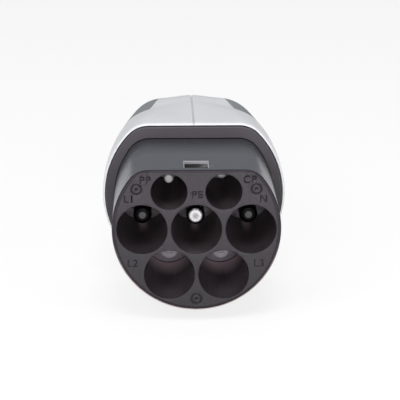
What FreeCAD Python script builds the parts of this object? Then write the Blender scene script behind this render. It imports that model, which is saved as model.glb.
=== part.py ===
import FreeCAD, Part
import math
import os
import Sketcher

# Charging plug for the charge-point end of an electric car's cable, with seven contact
# cavities, a clamshell handle and a cable gland. Millimetres. The plug lies along Y: the
# mating face is at y = 0 and faces -Y, the cable leaves towards +Y, and Z is up. The
# origin is the centre of the earth contact in the mating face.

sizes = {
    # Mating body: round below, flat on top.
    "body_radius": 27.2,
    "body_flat": 19.7,
    "body_corner": 8.0,
    "face_edge": 0.5,
    # Contact pattern: three power contacts in a row, two below, two signals above.
    "contact_pitch": 17.5,
    "signal_x": 8.75,
    "signal_z": 12.4,
    "power_cavity_radius": 8.1,
    "signal_cavity_radius": 5.8,
    "cavity_depth": 40.0,
    "mouth_edge": 0.3,
    # Recess in the flat top for the lock bolt of the socket outlet.
    "lock_width": 7.5,
    "lock_start": 3.2,
    "lock_length": 8.5,
    "lock_depth": 3.0,
    # Round moulding marks in the mating face.
    "mark_circle": 23.4,
    "mark_angle": 35.0,
    "mark_radius": 1.9,
    "mark_island_radius": 1.3,
    "mark_dimple_radius": 0.55,
    "mark_depth": 0.35,
    # Pin seats in the back wall of the cavities.
    "seat_land": 4.0,
    "seat_fit": 0.05,
    "power_journal_radius": 3.4,
    "signal_journal_radius": 1.8,
    "power_bore_radius": 5.0,
    "signal_bore_radius": 3.6,
    "bore_gap": 0.2,
    "ring_section": 1.4,
    "shoulder_length": 3.0,
    "end_gap": 0.1,
    # Contact pins, given by the place of each tip behind the mating face.
    "power_pin_radius": 3.0,
    "signal_pin_radius": 1.5,
    "earth_tip": 16.0,
    "line_tip": 17.0,
    "proximity_tip": 17.0,
    "pilot_tip": 22.5,
    "power_tip_round": 0.9,
    "signal_tip_round": 0.6,
    "cap_length": 5.0,
    "cap_dome": 1.3,
    "cap_post_radius": 1.15,
    "cap_fit": 0.05,
    "power_barrel_radius": 3.6,
    "power_barrel_bore": 2.2,
    "power_barrel_reach": 14.0,
    "signal_barrel_radius": 1.9,
    "signal_barrel_bore": 1.1,
    "signal_barrel_reach": 10.0,
    "crimp_depth": 9.0,
    # Blanking plugs in the two seats that hold no pin.
    "blank_tip": 26.5,
    "blank_radius": 2.7,
    "blank_dimple_radius": 1.0,
    "blank_dimple_depth": 0.8,
    "blank_tail": 2.0,
    # Front collar round the mating body, and what it holds.
    "collar_radius": 30.4,
    "collar_flat": 23.7,
    "collar_corner": 9.3,
    "collar_front": 43.0,
    "collar_plate": 3.0,
    "collar_edge": 0.4,
    "groove_width": 2.4,
    "neck_wall": 1.2,
    "ledge_thickness": 1.2,
    "rim_inset": 0.6,
    "sliding_gap": 0.15,
    "flange_step": 1.5,
    "flange_gap": 0.2,
    "flange_thickness": 2.6,
    "gasket_thickness": 1.4,
    "retainer_thickness": 3.0,
    "barrel_gap": 0.2,
    # Screws: shank radius, head and socket are shared by each kind.
    "retainer_screw_radius": 1.3,
    "retainer_screw_length": 9.0,
    "retainer_head_radius": 2.3,
    "retainer_head_height": 1.6,
    "retainer_socket": 1.0,
    "shell_screw_radius": 1.6,
    "shell_screw_length": 15.0,
    "shell_head_radius": 2.9,
    "shell_head_height": 2.2,
    "shell_socket": 1.3,
    "shell_screw_seat": 6.0,
    "clamp_screw_radius": 1.5,
    "clamp_screw_length": 11.0,
    "clamp_head_radius": 2.7,
    "clamp_head_height": 2.0,
    "clamp_socket": 1.2,
    "thread_gap": 0.1,
    "head_gap": 0.3,
    "boss_wall": 1.4,
    # Places of the five shell screws, behind the mating face and above its centre.
    "front_screw_y": 66.0,
    "front_screw_z": -25.0,
    "hidden_screw_y": 100.0,
    "hidden_screw_z": 12.0,
    "finger_screw_y": 110.0,
    "finger_screw_z": -22.0,
    "heel_screw_y": 160.0,
    "heel_screw_z": -25.0,
    "back_screw_y": 160.0,
    "back_screw_z": -3.0,
    # Coding resistor between the barrels of the proximity and earth pins.
    "resistor_radius": 1.25,
    "resistor_length": 6.0,
    "resistor_lead": 0.3,
    # Handle: front outline, and how width, top, middle and bottom change along it.
    "shell_front": 43.5,
    "shell_radius": 31.4,
    "shell_flat": 24.8,
    "shell_corner": 10.0,
    "shell_edge": 1.2,
    "shell_wall": 2.8,
    "shell_gap": 0.15,
    "waist_start": 50.5,
    "waist_end": 107.0,
    "grip_half_width": 19.6,
    "top_start": 86.0,
    "top_end": 150.0,
    "tail_top": 3.5,
    "sag_start": 61.5,
    "sag_end": 150.0,
    "tail_sag": 14.0,
    "outline_start": 48.0,
    "outline_end": 86.0,
    "top_squareness": 4.8,
    "crown_drop": 0.9,          # fall of the top beside the seam
    "crown_reach": 0.35,        # angles from straight up, in radians
    "crown_fade": 0.9,
    "crown_end": 1.4,
    "tail_squareness": 2.6,
    "finger_start": 60.0,
    "finger_end": 165.0,
    "finger_rise": 3.5,
    "heel_drop": 0.6,
    "shell_end": 182.0,
    "tail_wall": 12.0,
    "tail_edge": 2.5,
    "seam_slot": 0.25,
    "seam_depth": 0.6,
    "stop_rib": 2.0,
    "stop_inset": 0.7,
    # Soft grip inlays in the two upper sides of the handle.
    "inlay_thickness": 1.2,
    "inlay_gap": 0.12,
    "inlay_corner_x": 15.6,
    "inlay_corner_y": 73.0,
    "inlay_waist_x": 12.8,
    "inlay_waist_y": 87.0,
    "inlay_back_x": 9.0,
    "inlay_nose_x": 31.0,
    "inlay_nose_y": 66.5,
    "inlay_nose_z": 6.0,
    "inlay_belly_y": 92.0,
    "inlay_belly_z": -3.0,
    "inlay_end": 153.0,
    "inlay_back_z": -14.0,
    # Cable clamp inside the grip.
    "cable_radius": 6.5,
    "cable_way_start": 100.0,   # the cores fan out ahead of it
    "cable_gap": 0.1,
    "clamp_start": 128.0,
    "clamp_length": 12.0,
    "clamp_side_gap": 0.3,
    "clamp_split": 1.6,
    "strap_wall": 3.0,
    "strap_foot": 3.0,
    "strap_reach": 14.6,
    "clamp_screw_x": 11.4,
    "clamp_rib": 2.2,
    "clamp_rib_gap": 0.3,
    # Gland in the tail of the handle.
    "gland_thread_radius": 12.0,
    "gland_wall": 2.6,
    "gland_flange_radius": 14.0,
    "gland_flange_thickness": 3.0,
    "gland_front_wall": 3.0,
    "gland_passage_radius": 7.2,
    "gland_reach": 14.0,
    "seal_length": 11.0,
    "claw_length": 8.0,
    "claw_ring": 2.7,
    "claw_nose_radius": 8.4,
    "claw_slot": 1.2,
    "claw_count": 8,
    "nut_flats": 29.0,
    "nut_wall": 4.0,
    "nut_bevel": 1.0,
    "nut_end_wall": 2.0,
    "nut_gap": 0.5,
    "nut_start": 183.0,
    "nut_dome_radius": 10.4,
    "nut_mouth_radius": 7.8,
}

# Places that several pieces share, worked out from the sizes.
places = {
    "row_drop": "Sizes.contact_pitch * sqrt(3) / 2",
    "seat_floor": "Sizes.cavity_depth + Sizes.seat_land",
    "shoulder_front": "Layout.seat_floor + Sizes.ring_section + Sizes.end_gap",
    "shoulder_rear": "Layout.shoulder_front + Sizes.shoulder_length",
    "boss_front": "Layout.shoulder_rear + Sizes.end_gap",
    "groove_front": "Sizes.collar_front + Sizes.collar_plate",
    "groove_rear": "Layout.groove_front + Sizes.groove_width",
    "ledge_rear": "Layout.groove_rear + Sizes.ledge_thickness",
    "flange_front": "Layout.ledge_rear + Sizes.gasket_thickness",
    "carrier_rear": "Layout.flange_front + Sizes.flange_thickness",
    "retainer_rear": "Layout.carrier_rear + Sizes.retainer_thickness",
    "rim_rear": "Layout.retainer_rear + 2 * Sizes.end_gap",
    "stop_front": "Layout.rim_rear + Sizes.end_gap",
    "stop_rear": "Layout.stop_front + Sizes.stop_rib",
    "neck_grow": "Sizes.sliding_gap + Sizes.neck_wall",
    "cup_grow": "Sizes.flange_step + Sizes.flange_gap",
    "mark_x": "Sizes.mark_circle * cos(Sizes.mark_angle * 1deg)",
    "mark_z": "Sizes.mark_circle * sin(Sizes.mark_angle * 1deg)",
    "power_barrel_end": "Layout.retainer_rear + Sizes.power_barrel_reach",
    "signal_barrel_end": "Layout.retainer_rear + Sizes.signal_barrel_reach",
    "cable_bore": "Sizes.cable_radius + Sizes.cable_gap",
    "clamp_end": "Sizes.clamp_start + Sizes.clamp_length",
    "tail_front": "Sizes.shell_end - Sizes.tail_wall",
    "gland_flange_front": "Layout.tail_front + Sizes.gland_front_wall",
    "gland_flange_rear": "Layout.gland_flange_front + Sizes.gland_flange_thickness",
    "gland_end": "Sizes.shell_end + Sizes.gland_reach",
    "gland_bore": "Sizes.gland_thread_radius - Sizes.gland_wall",
    "seal_end": "Layout.gland_end - Sizes.claw_length / 2",
    "seal_start": "Layout.seal_end - Sizes.seal_length",
    "claw_start": "Layout.seal_end + Sizes.end_gap",
    "claw_end": "Layout.claw_start + Sizes.claw_length",
    "nut_shoulder": "Layout.gland_end + Sizes.nut_gap",
    "nut_end": "Layout.claw_end + Sizes.nut_end_wall",
    "nut_corner": "Sizes.nut_flats / sqrt(3)",
}

document = FreeCAD.newDocument("ChargingPlug")
sheet = document.addObject("Spreadsheet::Sheet", "Sizes")
for row, (alias, number) in enumerate(sizes.items(), 1):
    sheet.set(f"A{row}", alias)
    sheet.set(f"B{row}", str(number))
    sheet.setAlias(f"B{row}", alias)
document.recompute()

layout = document.addObject("App::VarSet", "Layout")
for name in places:
    layout.addProperty("App::PropertyFloat", name)
for name, formula in places.items():
    layout.setExpression(name, formula)
document.recompute()

vector = FreeCAD.Vector
constraint = Sketcher.Constraint

# Where each contact stands in the mating face: x and z as formulas.
contact_places = {
    "earth": ("0", "0"),
    "line_one": ("-Sizes.contact_pitch", "0"),
    "neutral": ("Sizes.contact_pitch", "0"),
    "line_two": ("-Sizes.contact_pitch / 2", "-Layout.row_drop"),
    "line_three": ("Sizes.contact_pitch / 2", "-Layout.row_drop"),
    "proximity": ("-Sizes.signal_x", "Sizes.signal_z"),
    "pilot": ("Sizes.signal_x", "Sizes.signal_z"),
}
power_contacts = ["earth", "line_one", "neutral", "line_two", "line_three"]
signal_contacts = ["proximity", "pilot"]
mark_places = [
    ("-Layout.mark_x", "Layout.mark_z"),
    ("Layout.mark_x", "Layout.mark_z"),
    ("0", "-Sizes.mark_circle"),
]
contact_kinds = {"power": power_contacts, "signal": signal_contacts}
shell_screw_names = ["front", "hidden", "finger", "heel", "back"]

# How far a cutting shape runs past what it cuts, and a length beyond the whole plug.
over = 1.0
beyond = 200.0
tiny = 1e-6
rough = 1e-3


# Helpers: bodies and sketches

def new_body(label):
    body = document.addObject("PartDesign::Body", label.title().replace("_", ""))
    body.Label = label
    return body


def new_sketch(body, name, role, offset="0"):
    """A sketch on one of the body's origin planes, moved along that plane's normal."""
    sketch = body.newObject("Sketcher::SketchObject", name)
    plane = next(item for item in body.Origin.OriginFeatures if item.Role == role)
    sketch.AttachmentSupport = [(plane, "")]
    sketch.MapMode = "FlatFace"
    if offset != "0":
        sketch.setExpression("AttachmentOffset.Base.z", offset)
    return sketch


def cross_sketch(body, name, station):
    """A sketch across the plug at a distance behind the mating face: x is X and y is Z."""
    return new_sketch(body, name, "XZ_Plane", f"-({station})")


def bind(sketch, kind, name, formula, *where, start=1.0):
    """A dimension of the sketch that follows a formula."""
    index = sketch.addConstraint(constraint(kind, *where, start))
    sketch.renameConstraint(index, name)
    sketch.setExpression(f"Constraints.{name}", formula)


def pin_point(sketch, name, geometry, point, x, y):
    """Ties a point of the sketch to the formulas x and y, or to an axis where one is 0."""
    for axis, formula, kind in ((-2, x, "DistanceX"), (-1, y, "DistanceY")):
        if formula == "0":
            sketch.addConstraint(constraint("PointOnObject", geometry, point, axis))
        else:
            bind(sketch, kind, f"{name}_{kind[-1].lower()}", formula, -1, 1, geometry, point)


def add_circles(sketch, name, centres, radius):
    for number, (x, z) in enumerate(centres):
        circle = sketch.addGeometry(Part.Circle(vector(number + 1, number + 1, 0), vector(0, 0, 1), 1))
        pin_point(sketch, f"{name}{number}", circle, 3, x, z)
        bind(sketch, "Radius", f"{name}{number}_radius", radius, circle)


def add_polygon(sketch, name, points):
    """A closed outline through points that are each given by two formulas."""
    count = len(points)
    for number in range(count):
        after = (number + 1) % count
        start, end = vector(number + 1, number % 3, 0), vector(after + 1, after % 3, 0)
        sketch.addGeometry(Part.LineSegment(start, end))
    first = sketch.GeometryCount - count
    for number, (x, y) in enumerate(points):
        after = (number + 1) % count
        sketch.addConstraint(constraint("Coincident", first + number, 2, first + after, 1))
        pin_point(sketch, f"{name}{number}", first + number, 1, x, y)


def add_flat_topped(sketch, name, family, grow):
    """The plug's outline: a circle with a flat top and two round corners, grown all round.

    family is body or collar, whose radius, flat and corner the sheet gives.
    """
    radius = sizes[f"{family}_radius"]
    flat = sizes[f"{family}_flat"]
    corner = sizes[f"{family}_corner"]
    corner_z = flat - corner
    corner_x = math.sqrt((radius - corner) ** 2 - corner_z ** 2)
    lean = math.atan2(corner_z, corner_x)
    normal = vector(0, 0, 1)
    top = sketch.addGeometry(Part.LineSegment(vector(corner_x, flat, 0), vector(-corner_x, flat, 0)))
    left_circle = Part.Circle(vector(-corner_x, corner_z, 0), normal, corner)
    left = sketch.addGeometry(Part.ArcOfCircle(left_circle, math.pi / 2, math.pi - lean))
    round_circle = Part.Circle(vector(0, 0, 0), normal, radius)
    ring = sketch.addGeometry(Part.ArcOfCircle(round_circle, math.pi - lean, 2 * math.pi + lean))
    right_circle = Part.Circle(vector(corner_x, corner_z, 0), normal, corner)
    right = sketch.addGeometry(Part.ArcOfCircle(right_circle, lean, math.pi / 2))
    for before, after in ((top, left), (left, ring), (ring, right), (right, top)):
        sketch.addConstraint(constraint("Tangent", before, 2, after, 1))
    sketch.addConstraint(constraint("Coincident", ring, 3, -1, 1))
    sketch.addConstraint(constraint("Symmetric", top, 1, top, 2, -2))
    bind(sketch, "Radius", f"{name}_radius", f"Sizes.{family}_radius + {grow}", ring, start=radius)
    bind(sketch, "Radius", f"{name}_corner", f"Sizes.{family}_corner + {grow}", left, start=corner)
    bind(sketch, "DistanceY", f"{name}_flat", f"Sizes.{family}_flat + {grow}", -1, 1, top, 1, start=flat)


def pad(body, name, sketch, length, forward=False):
    """Pads towards the back of the plug, or forward towards its mating face."""
    feature = body.newObject("PartDesign::Pad", name)
    feature.Profile = sketch
    feature.Reversed = not forward
    feature.setExpression("Length", length)
    return feature


def pocket(body, name, sketch, length, forward=False):
    """Cuts towards the back of the plug, or forward, and checks that material went."""
    document.recompute()
    before = body.Shape.Volume
    feature = body.newObject("PartDesign::Pocket", name)
    feature.Profile = sketch
    feature.Reversed = forward
    feature.setExpression("Length", length)
    document.recompute()
    if body.Shape.Volume > before - tiny:
        raise ValueError(f"{body.Label}: {name} cuts nothing")
    return feature


def is_closed_circle(edge):
    return isinstance(edge.Curve, Part.Circle) and edge.isClosed()


def edges_where(feature, test):
    """Names of the edges that pass the test, which gets each edge and its middle point."""
    names = []
    for number, edge in enumerate(feature.Shape.Edges, 1):
        middle = edge.valueAt((edge.FirstParameter + edge.LastParameter) / 2)
        if test(edge, middle):
            names.append(f"Edge{number}")
    return names


def soften(body, name, test, radius, kind="Fillet"):
    """Rounds or bevels the edges that pass the test."""
    document.recompute()
    base = body.Tip
    names = edges_where(base, test)
    if not names:
        raise ValueError(f"{body.Label}: {name} finds no edge")
    feature = body.newObject(f"PartDesign::{kind}", name)
    feature.Base = (base, names)
    feature.setExpression("Radius" if kind == "Fillet" else "Size", radius)
    return feature


def turned(label, outline, turn="along", place=("0", "0", "0"), suffix=""):
    """A turned piece: outline gives radius and height along the piece's own Z axis.

    turn says where that axis points in the plug: along (+Y), up (+Z) or side (+X).
    """
    body = new_body(label + suffix)
    sketch = new_sketch(body, "Section", "XZ_Plane")
    add_polygon(sketch, "corner", outline)
    spin = body.newObject("PartDesign::Revolution", "Turning")
    spin.Profile = sketch
    spin.ReferenceAxis = (sketch, ["V_Axis"])
    spin.Angle = 360
    set_place(body, turn, place)
    return body


def set_place(item, turn, place):
    turns = {"along": (vector(1, 0, 0), -90), "up": (vector(0, 0, 1), 0), "side": (vector(0, 1, 0), 90)}
    item.Placement = FreeCAD.Placement(vector(0, 0, 0), FreeCAD.Rotation(*turns[turn]))
    for axis, formula in zip("xyz", place):
        if formula != "0":
            item.setExpression(f".Placement.Base.{axis}", formula)


def at_contact(contact, station="0"):
    x, z = contact_places[contact]
    return (x, station, z)


# Contact carrier: the mating body with its seven cavities

def build_carrier():
    body = new_body("contact_carrier")
    outline = cross_sketch(body, "BodyOutline", "0")
    add_flat_topped(outline, "outline", "body", "0")
    pad(body, "MatingBody", outline, "Layout.carrier_rear")
    flange = cross_sketch(body, "FlangeOutline", "Layout.flange_front")
    add_flat_topped(flange, "outline", "body", "Sizes.flange_step")
    pad(body, "Flange", flange, "Sizes.flange_thickness")

    for kind, contacts in contact_kinds.items():
        centres = [contact_places[contact] for contact in contacts]
        mouths = cross_sketch(body, f"{kind}Mouths".title(), "0")
        add_circles(mouths, "mouth", centres, f"Sizes.{kind}_cavity_radius")
        pocket(body, f"{kind}Cavities".title(), mouths, "Sizes.cavity_depth")
        seats = cross_sketch(body, f"{kind}Seats".title(), "0")
        add_circles(seats, "seat", centres, f"Sizes.{kind}_journal_radius + Sizes.seat_fit")
        pocket(body, f"{kind}Lands".title(), seats, "Layout.seat_floor + Sizes.end_gap")
        bores = cross_sketch(body, f"{kind}Bores".title(), "Layout.seat_floor")
        add_circles(bores, "bore", centres, f"Sizes.{kind}_bore_radius")
        pocket(body, f"{kind}Counterbores".title(), bores, "Layout.carrier_rear - Layout.seat_floor")

    lock = new_sketch(body, "LockOutline", "XY_Plane", "Sizes.body_flat")
    half, start = "Sizes.lock_width / 2", "Sizes.lock_start"
    end = "Sizes.lock_start + Sizes.lock_length"
    add_polygon(lock, "corner", [(f"-{half}", start), (half, start), (half, end), (f"-{half}", end)])
    pocket(body, "LockRecess", lock, "Sizes.lock_depth")

    pilots = cross_sketch(body, "PilotHoles", "Layout.carrier_rear")
    add_circles(pilots, "pilot", mark_places, "Sizes.retainer_screw_radius")
    pocket(body, "Pilots", pilots,
           "Sizes.retainer_screw_length - Sizes.retainer_thickness + Sizes.end_gap", forward=True)

    rings = cross_sketch(body, "MarkRings", "0")
    add_circles(rings, "outer", mark_places, "Sizes.mark_radius")
    add_circles(rings, "island", mark_places, "Sizes.mark_island_radius")
    pocket(body, "Marks", rings, "Sizes.mark_depth")
    dimples = cross_sketch(body, "MarkDimples", "0")
    add_circles(dimples, "dimple", mark_places, "Sizes.mark_dimple_radius")
    pocket(body, "Dimples", dimples, "Sizes.mark_depth")

    mouth_radii = [sizes["power_cavity_radius"], sizes["signal_cavity_radius"]]

    def on_face_rim(edge, middle):
        return abs(middle.y) < tiny and not is_closed_circle(edge)

    def on_mouth(edge, middle):
        on_face = abs(middle.y) < tiny and is_closed_circle(edge)
        return on_face and any(abs(edge.Curve.Radius - radius) < tiny for radius in mouth_radii)

    soften(body, "FaceEdge", on_face_rim, "Sizes.face_edge", "Chamfer")
    soften(body, "MouthEdges", on_mouth, "Sizes.mouth_edge", "Chamfer")
    return body


# Collar, gasket and contact retainer

def build_collar():
    body = new_body("front_collar")
    plate = cross_sketch(body, "PlateOutline", "Sizes.collar_front")
    add_flat_topped(plate, "outline", "collar", "0")
    pad(body, "Plate", plate, "Sizes.collar_plate")
    neck = cross_sketch(body, "NeckOutline", "Layout.groove_front")
    add_flat_topped(neck, "outline", "body", "Layout.neck_grow")
    pad(body, "Neck", neck, "Sizes.groove_width + Sizes.ledge_thickness")
    rim = cross_sketch(body, "RimOutline", "Layout.groove_rear")
    add_flat_topped(rim, "outline", "collar", "-Sizes.rim_inset")
    pad(body, "Rim", rim, "Layout.rim_rear - Layout.groove_rear")
    opening = cross_sketch(body, "OpeningOutline", "Sizes.collar_front")
    add_flat_topped(opening, "outline", "body", "Sizes.sliding_gap")
    pocket(body, "Opening", opening, "Layout.rim_rear - Sizes.collar_front")
    cup = cross_sketch(body, "CupOutline", "Layout.ledge_rear")
    add_flat_topped(cup, "outline", "body", "Layout.cup_grow")
    pocket(body, "Cup", cup, "Layout.rim_rear - Layout.ledge_rear")

    inner_flat = sizes["body_flat"] + sizes["sliding_gap"]
    inner_radius = sizes["body_radius"] + sizes["sliding_gap"]

    def on_front_rim(edge, middle):
        outside = middle.z > inner_flat + tiny or math.hypot(middle.x, middle.z) > inner_radius + tiny
        return abs(middle.y - sizes["collar_front"]) < tiny and outside

    soften(body, "FrontEdge", on_front_rim, "Sizes.collar_edge")
    return body


def build_gasket():
    body = new_body("collar_gasket")
    outline = cross_sketch(body, "GasketOutline", "Layout.ledge_rear")
    add_flat_topped(outline, "outer", "body", "Sizes.flange_step")
    add_flat_topped(outline, "inner", "body", "Sizes.sliding_gap")
    pad(body, "Gasket", outline, "Sizes.gasket_thickness")
    return body


def build_retainer():
    body = new_body("contact_retainer")
    outline = cross_sketch(body, "PlateOutline", "Layout.carrier_rear")
    add_flat_topped(outline, "outline", "body", "Sizes.flange_step")
    pad(body, "Plate", outline, "Sizes.retainer_thickness")
    for kind, contacts in contact_kinds.items():
        centres = [contact_places[contact] for contact in contacts]
        bosses = cross_sketch(body, f"{kind}Bosses".title(), "Layout.carrier_rear")
        add_circles(bosses, "boss", centres, f"Sizes.{kind}_bore_radius - Sizes.bore_gap")
        pad(body, f"{kind}Pushers".title(), bosses, "Layout.carrier_rear - Layout.boss_front", forward=True)
        holes = cross_sketch(body, f"{kind}Holes".title(), "Layout.boss_front")
        add_circles(holes, "hole", centres, f"Sizes.{kind}_barrel_radius + Sizes.barrel_gap")
        pocket(body, f"{kind}Passages".title(), holes, "Layout.retainer_rear - Layout.boss_front")
    screws = cross_sketch(body, "ScrewHoles", "Layout.carrier_rear")
    add_circles(screws, "screw", mark_places, "Sizes.retainer_screw_radius + Sizes.thread_gap")
    pocket(body, "ScrewPassages", screws, "Sizes.retainer_thickness")
    return body


# Contacts, caps, blanking plugs and sealing rings

def build_pin(label, contact, kind, tip, capped=False):
    shank = f"Sizes.{kind}_pin_radius"
    journal = f"Sizes.{kind}_journal_radius"
    shoulder = f"Sizes.{kind}_bore_radius - Sizes.bore_gap"
    barrel = f"Sizes.{kind}_barrel_radius"
    bore = f"Sizes.{kind}_barrel_bore"
    end = f"Layout.{kind}_barrel_end"
    nose = [("0", tip), (shank, tip)]
    if capped:
        root = f"{tip} + Sizes.cap_length"
        nose = [("0", tip), ("Sizes.cap_post_radius", tip), ("Sizes.cap_post_radius", root), (shank, root)]
    outline = nose + [
        (shank, "Sizes.cavity_depth - Sizes.end_gap"), (journal, "Sizes.cavity_depth - Sizes.end_gap"),
        (journal, "Layout.shoulder_front"), (shoulder, "Layout.shoulder_front"),
        (shoulder, "Layout.shoulder_rear"), (barrel, "Layout.shoulder_rear"),
        (barrel, end), (bore, end), (bore, f"{end} - Sizes.crimp_depth"), ("0", f"{end} - Sizes.crimp_depth")]
    body = turned(label, outline, "along", at_contact(contact))
    if not capped:
        document.recompute()
        tip_place = sizes[tip.split(".")[1]]

        def on_tip(edge, middle):
            return abs(middle.z - tip_place) < tiny and is_closed_circle(edge)

        soften(body, "TipRound", on_tip, f"Sizes.{kind}_tip_round")
    return body


def build_cap(label, contact):
    """Insulating cap over the end of a live pin, so that a finger can't reach the metal."""
    tip = "Sizes.line_tip"
    bore = "Sizes.cap_post_radius + Sizes.cap_fit"
    rear = "Sizes.line_tip + Sizes.cap_length - Sizes.cap_fit"
    outline = [(bore, tip), ("Sizes.power_pin_radius", tip), ("Sizes.power_pin_radius", rear), (bore, rear)]
    body = turned(label, outline, "along", at_contact(contact))
    document.recompute()

    def on_front(edge, middle):
        at_tip = abs(middle.z - sizes["line_tip"]) < tiny and is_closed_circle(edge)
        return at_tip and abs(edge.Curve.Radius - sizes["power_pin_radius"]) < tiny

    soften(body, "Dome", on_front, "Sizes.cap_dome")
    return body


def build_blank(label, contact):
    tip = "Sizes.blank_tip"
    shank, journal = "Sizes.blank_radius", "Sizes.power_journal_radius"
    shoulder = "Sizes.power_bore_radius - Sizes.bore_gap"
    tail, end = "Sizes.power_barrel_radius", "Layout.retainer_rear + Sizes.blank_tail"
    floor = "Sizes.blank_tip + Sizes.blank_dimple_depth"
    outline = [
        ("0", floor), ("Sizes.blank_dimple_radius", floor), ("Sizes.blank_dimple_radius", tip), (shank, tip),
        (shank, "Sizes.cavity_depth - Sizes.end_gap"), (journal, "Sizes.cavity_depth - Sizes.end_gap"),
        (journal, "Layout.shoulder_front"), (shoulder, "Layout.shoulder_front"),
        (shoulder, "Layout.shoulder_rear"), (tail, "Layout.shoulder_rear"), (tail, end), ("0", end)]
    body = turned(label, outline, "along", at_contact(contact))
    document.recompute()

    def on_front(edge, middle):
        return abs(middle.z - sizes["blank_tip"]) < tiny and is_closed_circle(edge)

    soften(body, "TipRound", on_front, "Sizes.mouth_edge")
    return body


def build_rings():
    rings = []
    for contact in contact_places:
        kind = "signal" if contact in signal_contacts else "power"
        ring = document.addObject("Part::Torus", f"{contact}Ring".title())
        ring.setExpression("Radius2", "Sizes.ring_section / 2")
        ring.setExpression("Radius1",
                           f"Sizes.{kind}_journal_radius + Sizes.ring_section / 2 + Sizes.seat_fit")
        set_place(ring, "along", at_contact(contact, "Layout.seat_floor + Sizes.ring_section / 2"))
        rings.append(ring)
    return group("pin_o_rings", rings)


def group(label, items):
    compound = document.addObject("Part::Compound", label.title().replace("_", ""))
    compound.Label = label
    compound.Links = items
    return compound


# Screws: one turned shape, with a six-sided socket, for every place

def build_screws(label, kind, turn, spots):
    screws = []
    for number, spot in enumerate(spots, 1):
        radius = f"Sizes.{kind}_screw_radius - Sizes.thread_gap"
        length = f"-Sizes.{kind}_screw_length"
        head, height = f"Sizes.{kind}_head_radius", f"Sizes.{kind}_head_height"
        outline = [("0", length), (radius, length), (radius, "0"), (head, "0"), (head, height), ("0", height)]
        body = turned(label, outline, turn, spot, f"_{number}")
        socket = body.newObject("PartDesign::SubtractivePrism", "Socket")
        socket.Polygon = 6
        socket.setExpression("Circumradius", f"Sizes.{kind}_head_radius / 2")
        socket.setExpression("Height", f"Sizes.{kind}_head_height")
        socket.setExpression(".Placement.Base.z", f"Sizes.{kind}_head_height - Sizes.{kind}_socket")
        screws.append(body)
    return group(label, screws)


# Coding resistor, clipped between two barrels by its leads

def build_resistor():
    station = (layout.retainer_rear + layout.signal_barrel_end) / 2
    reach = vector(-sizes["signal_x"], 0, sizes["signal_z"])
    direction = vector(reach).normalize()
    first = direction * (sizes["power_barrel_radius"] + sizes["end_gap"])
    last = reach - direction * (sizes["signal_barrel_radius"] + sizes["end_gap"])
    start = vector(first.x, station, first.z)
    span = (last - first).Length
    middle = start + direction * ((span - sizes["resistor_length"]) / 2)
    leads = Part.makeCylinder(sizes["resistor_lead"], span, start, direction)
    barrel = Part.makeCylinder(sizes["resistor_radius"], sizes["resistor_length"], middle, direction)
    return solid_part("coding_resistor", barrel.fuse(leads).removeSplitter())


def solid_part(label, shape):
    item = document.addObject("Part::Feature", label.title().replace("_", ""))
    item.Label = label
    item.Shape = shape
    item.Placement = FreeCAD.Placement()
    return item


# Handle shells: the outline changes smoothly along the handle

def ease(place, start, end):
    """0 before start, 1 after end, and a smooth step between them."""
    share = min(max((place - start) / (end - start), 0.0), 1.0)
    return share * share * (3 - 2 * share)


def flat_topped_reach(angle, radius, flat, corner):
    """Distance from the middle to a flat-topped circle, at an angle from straight up."""
    if flat >= radius:
        return radius
    corner_z = flat - corner
    corner_x = math.sqrt(max((radius - corner) ** 2 - corner_z ** 2, 0.0))
    if angle <= math.atan2(corner_x, flat):
        return flat / math.cos(angle)
    if angle >= math.atan2(corner_x, corner_z):
        return radius
    along = math.sin(angle) * corner_x + math.cos(angle) * corner_z
    return along + math.sqrt(max(along ** 2 - corner_x ** 2 - corner_z ** 2 + corner ** 2, 0.0))


def squared_reach(angle, width, height, squareness):
    """Distance from the middle to a squared ellipse."""
    side = abs(math.sin(angle)) / width
    rise = abs(math.cos(angle)) / height
    return (side ** squareness + rise ** squareness) ** (-1 / squareness)


def handle_at(station):
    """Half width, top, middle and bottom of the handle's outline at a station."""
    waist = ease(station, sizes["waist_start"], sizes["waist_end"])
    width = sizes["shell_radius"] + (sizes["grip_half_width"] - sizes["shell_radius"]) * waist
    fall = ease(station, sizes["top_start"], sizes["top_end"])
    top = sizes["shell_flat"] + (sizes["tail_top"] - sizes["shell_flat"]) * fall
    middle = -sizes["tail_sag"] * ease(station, sizes["sag_start"], sizes["sag_end"])
    fingers = (station - sizes["finger_start"]) / (sizes["finger_end"] - sizes["finger_start"])
    rise = math.sin(math.pi * min(max(fingers, 0.0), 1.0)) ** 2
    heel = ease(station, sizes["finger_end"] - sizes["tail_wall"], sizes["finger_end"])
    bottom = -sizes["shell_radius"] + sizes["finger_rise"] * rise - sizes["heel_drop"] * heel
    return width, top, middle, bottom


def handle_reach(angle, station, inset):
    width, top, middle, bottom = handle_at(station)
    blend = ease(station, sizes["outline_start"], sizes["outline_end"])
    tail = ease(station, sizes["outline_end"], sizes["sag_end"])
    front = flat_topped_reach(angle, width - inset, top - middle - inset, sizes["shell_corner"] - inset)
    if angle < math.pi / 2:
        back = squared_reach(angle, width - inset, top - middle - inset, sizes["top_squareness"])
        crown = ease(angle, 0, sizes["crown_reach"]) - ease(angle, sizes["crown_fade"], sizes["crown_end"])
        back -= sizes["crown_drop"] * crown
    else:
        squareness = 2 + (sizes["tail_squareness"] - 2) * tail
        back = squared_reach(angle, width - inset, middle - bottom - inset, squareness)
    return (1 - blend) * front + blend * back


outline_steps = 20
handle_steps = 13


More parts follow.
